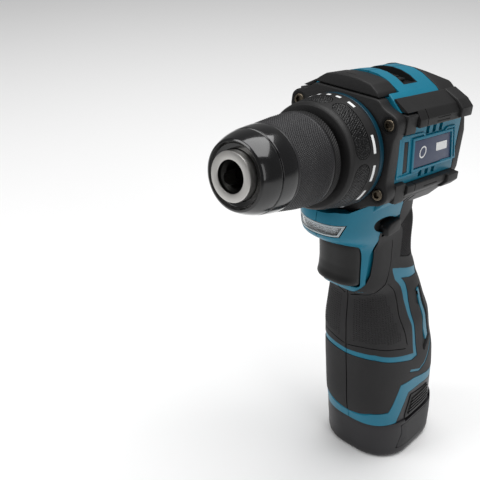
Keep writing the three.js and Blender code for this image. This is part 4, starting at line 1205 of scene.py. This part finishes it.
def battery_case():
    shape = foot()
    half = CELL_PITCH / 2
    for x, y in CELLS:
        shape = joined(shape, rod_z(CELL_RADIUS + 0.3 + STICK_WALL, 20, STICK_TOP, x, y))
    shape = joined(shape, box(-half, half, STICK_Y - half, STICK_Y + half, 20, STICK_TOP))
    shape = joined(shape, common(grip(low=22), slab("x", EAR_OUTLINE, -40, 40)))
    for x, y in CELLS:
        shape = cut(shape, rod_z(CELL_RADIUS + 0.3, CELL_BOTTOM - 1, STICK_TOP - 2, x, y))
    shape = cut(shape, box(-4, 4, STICK_Y - 4, STICK_Y + 4, CELL_BOTTOM - 1, STICK_TOP - 2))
    shape = cut(shape, box(-6, 6, STICK_Y - 3, STICK_Y + 3, 77.6, STICK_TOP + 2))
    for sign in (1, -1):
        pocket = cut(through_side(grown(LATCH_OUTLINE, GAP), sign), grip(4.6))
        shape = cut(shape, pocket)
        shape = cut(shape, cut(through_side(grown(FOOT_PANEL, 0.35), sign), foot(-0.6)))
        shape = cut(shape, slab("x", LATCH_SHADOW, *outside(sign, 23)))
    return shape


def latch(sign):
    shape = common(through_side(rounded(LATCH_OUTLINE, 0.8), sign), cut(grip(-0.5), grip(1.8)))
    for rib in range(5):
        z = 29.4 + rib * 2.2
        lean = 0.3 * (z - 29.4)
        bar = [(lean - 11, z), (10.4 - 0.5 * lean, z), (10.4 - 0.5 * lean, z + 1), (lean - 11, z + 1)]
        shape = joined(shape, common(through_side(bar, sign), cut(grip(-1.2), grip(0))))
    return shape


piece(battery_case(), "battery_shell", FOOT, "battery", ["battery_case"])
foot_panel = common(through_side(rounded(FOOT_PANEL, 1.2), 1), cut(foot(0.05), foot(-0.6)))
both_sides(foot_panel, "foot_panel", PEBBLE, "battery")
for word, sign in SIDES.items():
    piece(latch(sign), f"latch_button_{word}", CHARCOAL, f"latch_{word}", [f"battery_latch_{word}"])

# ---- carried-over inner parts ------------------------------------------------------------------------
INNER = {
    DARK_STEEL: "chuck_nut output_spindle ring_gear",
    STEEL: "spindle_bearing planet_gear_1 planet_gear_2 planet_gear_3 motor_can clutch_spring "
           "trigger_spring",
    BRASS: "speed_shift_ring rear_bearing battery_terminals",
    BLACK: "motor_fan terminal_receiver",
    COPPER: "motor_rotor",
    LIGHT_BOARD: "led_board",
    CHARCOAL: "trigger_switch",
    BOARD: "control_board",
    JACKET: "battery_cell_1 battery_cell_2 battery_cell_3 battery_cell_4",
}
for material, names in INNER.items():
    for name in names.split():
        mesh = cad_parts[name].data
        mesh.materials.clear()
        mesh.materials.append(material)

# ---- floor, light, camera ----------------------------------------------------------------------------
floor_mesh = bpy.data.meshes.new("floor")
floor_mesh.from_pydata([(-3, -3, 0), (3, -3, 0), (3, 3, 0), (-3, 3, 0)], [], [(0, 1, 2, 3)])
floor = bpy.data.objects.new("floor", floor_mesh)
floor.location.z = -0.0003
scene.collection.objects.link(floor)
floor.data.materials.append(shader("floor_paint", (0.9, 0.9, 0.9), 0.8)[0])


def lamp(name, place, target, size, energy):
    light = bpy.data.lights.new(name, "AREA")
    light.shape = "RECTANGLE"
    light.size, light.size_y = size
    light.energy = energy
    obj = bpy.data.objects.new(name, light)
    obj.location = place
    obj.rotation_euler = (Vector(target) - Vector(place)).to_track_quat("-Z", "Y").to_euler()
    scene.collection.objects.link(obj)


lamp("key", (-0.55, -0.9, 0.9), (0, -0.05, 0.15), (0.6, 0.6), 5.5)
lamp("side", (1.1, -0.35, 0.6), (0, 0, 0.15), (0.4, 0.9), 2.6)
lamp("top", (0.1, 0.15, 1.3), (0, -0.02, 0.1), (1.2, 1.0), 17)

world = bpy.data.worlds.new("studio")
world.use_nodes = True
world.node_tree.nodes["Background"].inputs["Color"].default_value = (1, 1, 1, 1)
world.node_tree.nodes["Background"].inputs["Strength"].default_value = 0.22
scene.world = world
scene.view_settings.view_transform = "Standard"

camera_data = bpy.data.cameras.new("camera")
camera_data.lens = 63.75
camera_data.sensor_width = 36
camera = bpy.data.objects.new("camera", camera_data)
scene.collection.objects.link(camera)
# The camera stands ahead of the drill, to its left and above it.
right = Vector((0.7400, 0.6726, 0)).normalized()
back = Vector((0.586, -0.6448, 0.4909)).normalized()
up = back.cross(right)
right = up.cross(back)
turn = Matrix((right, up, back)).transposed().to_4x4()
camera.matrix_world = Matrix.Translation((0.21063, -0.3597, 0.36116)) @ turn
scene.camera = camera
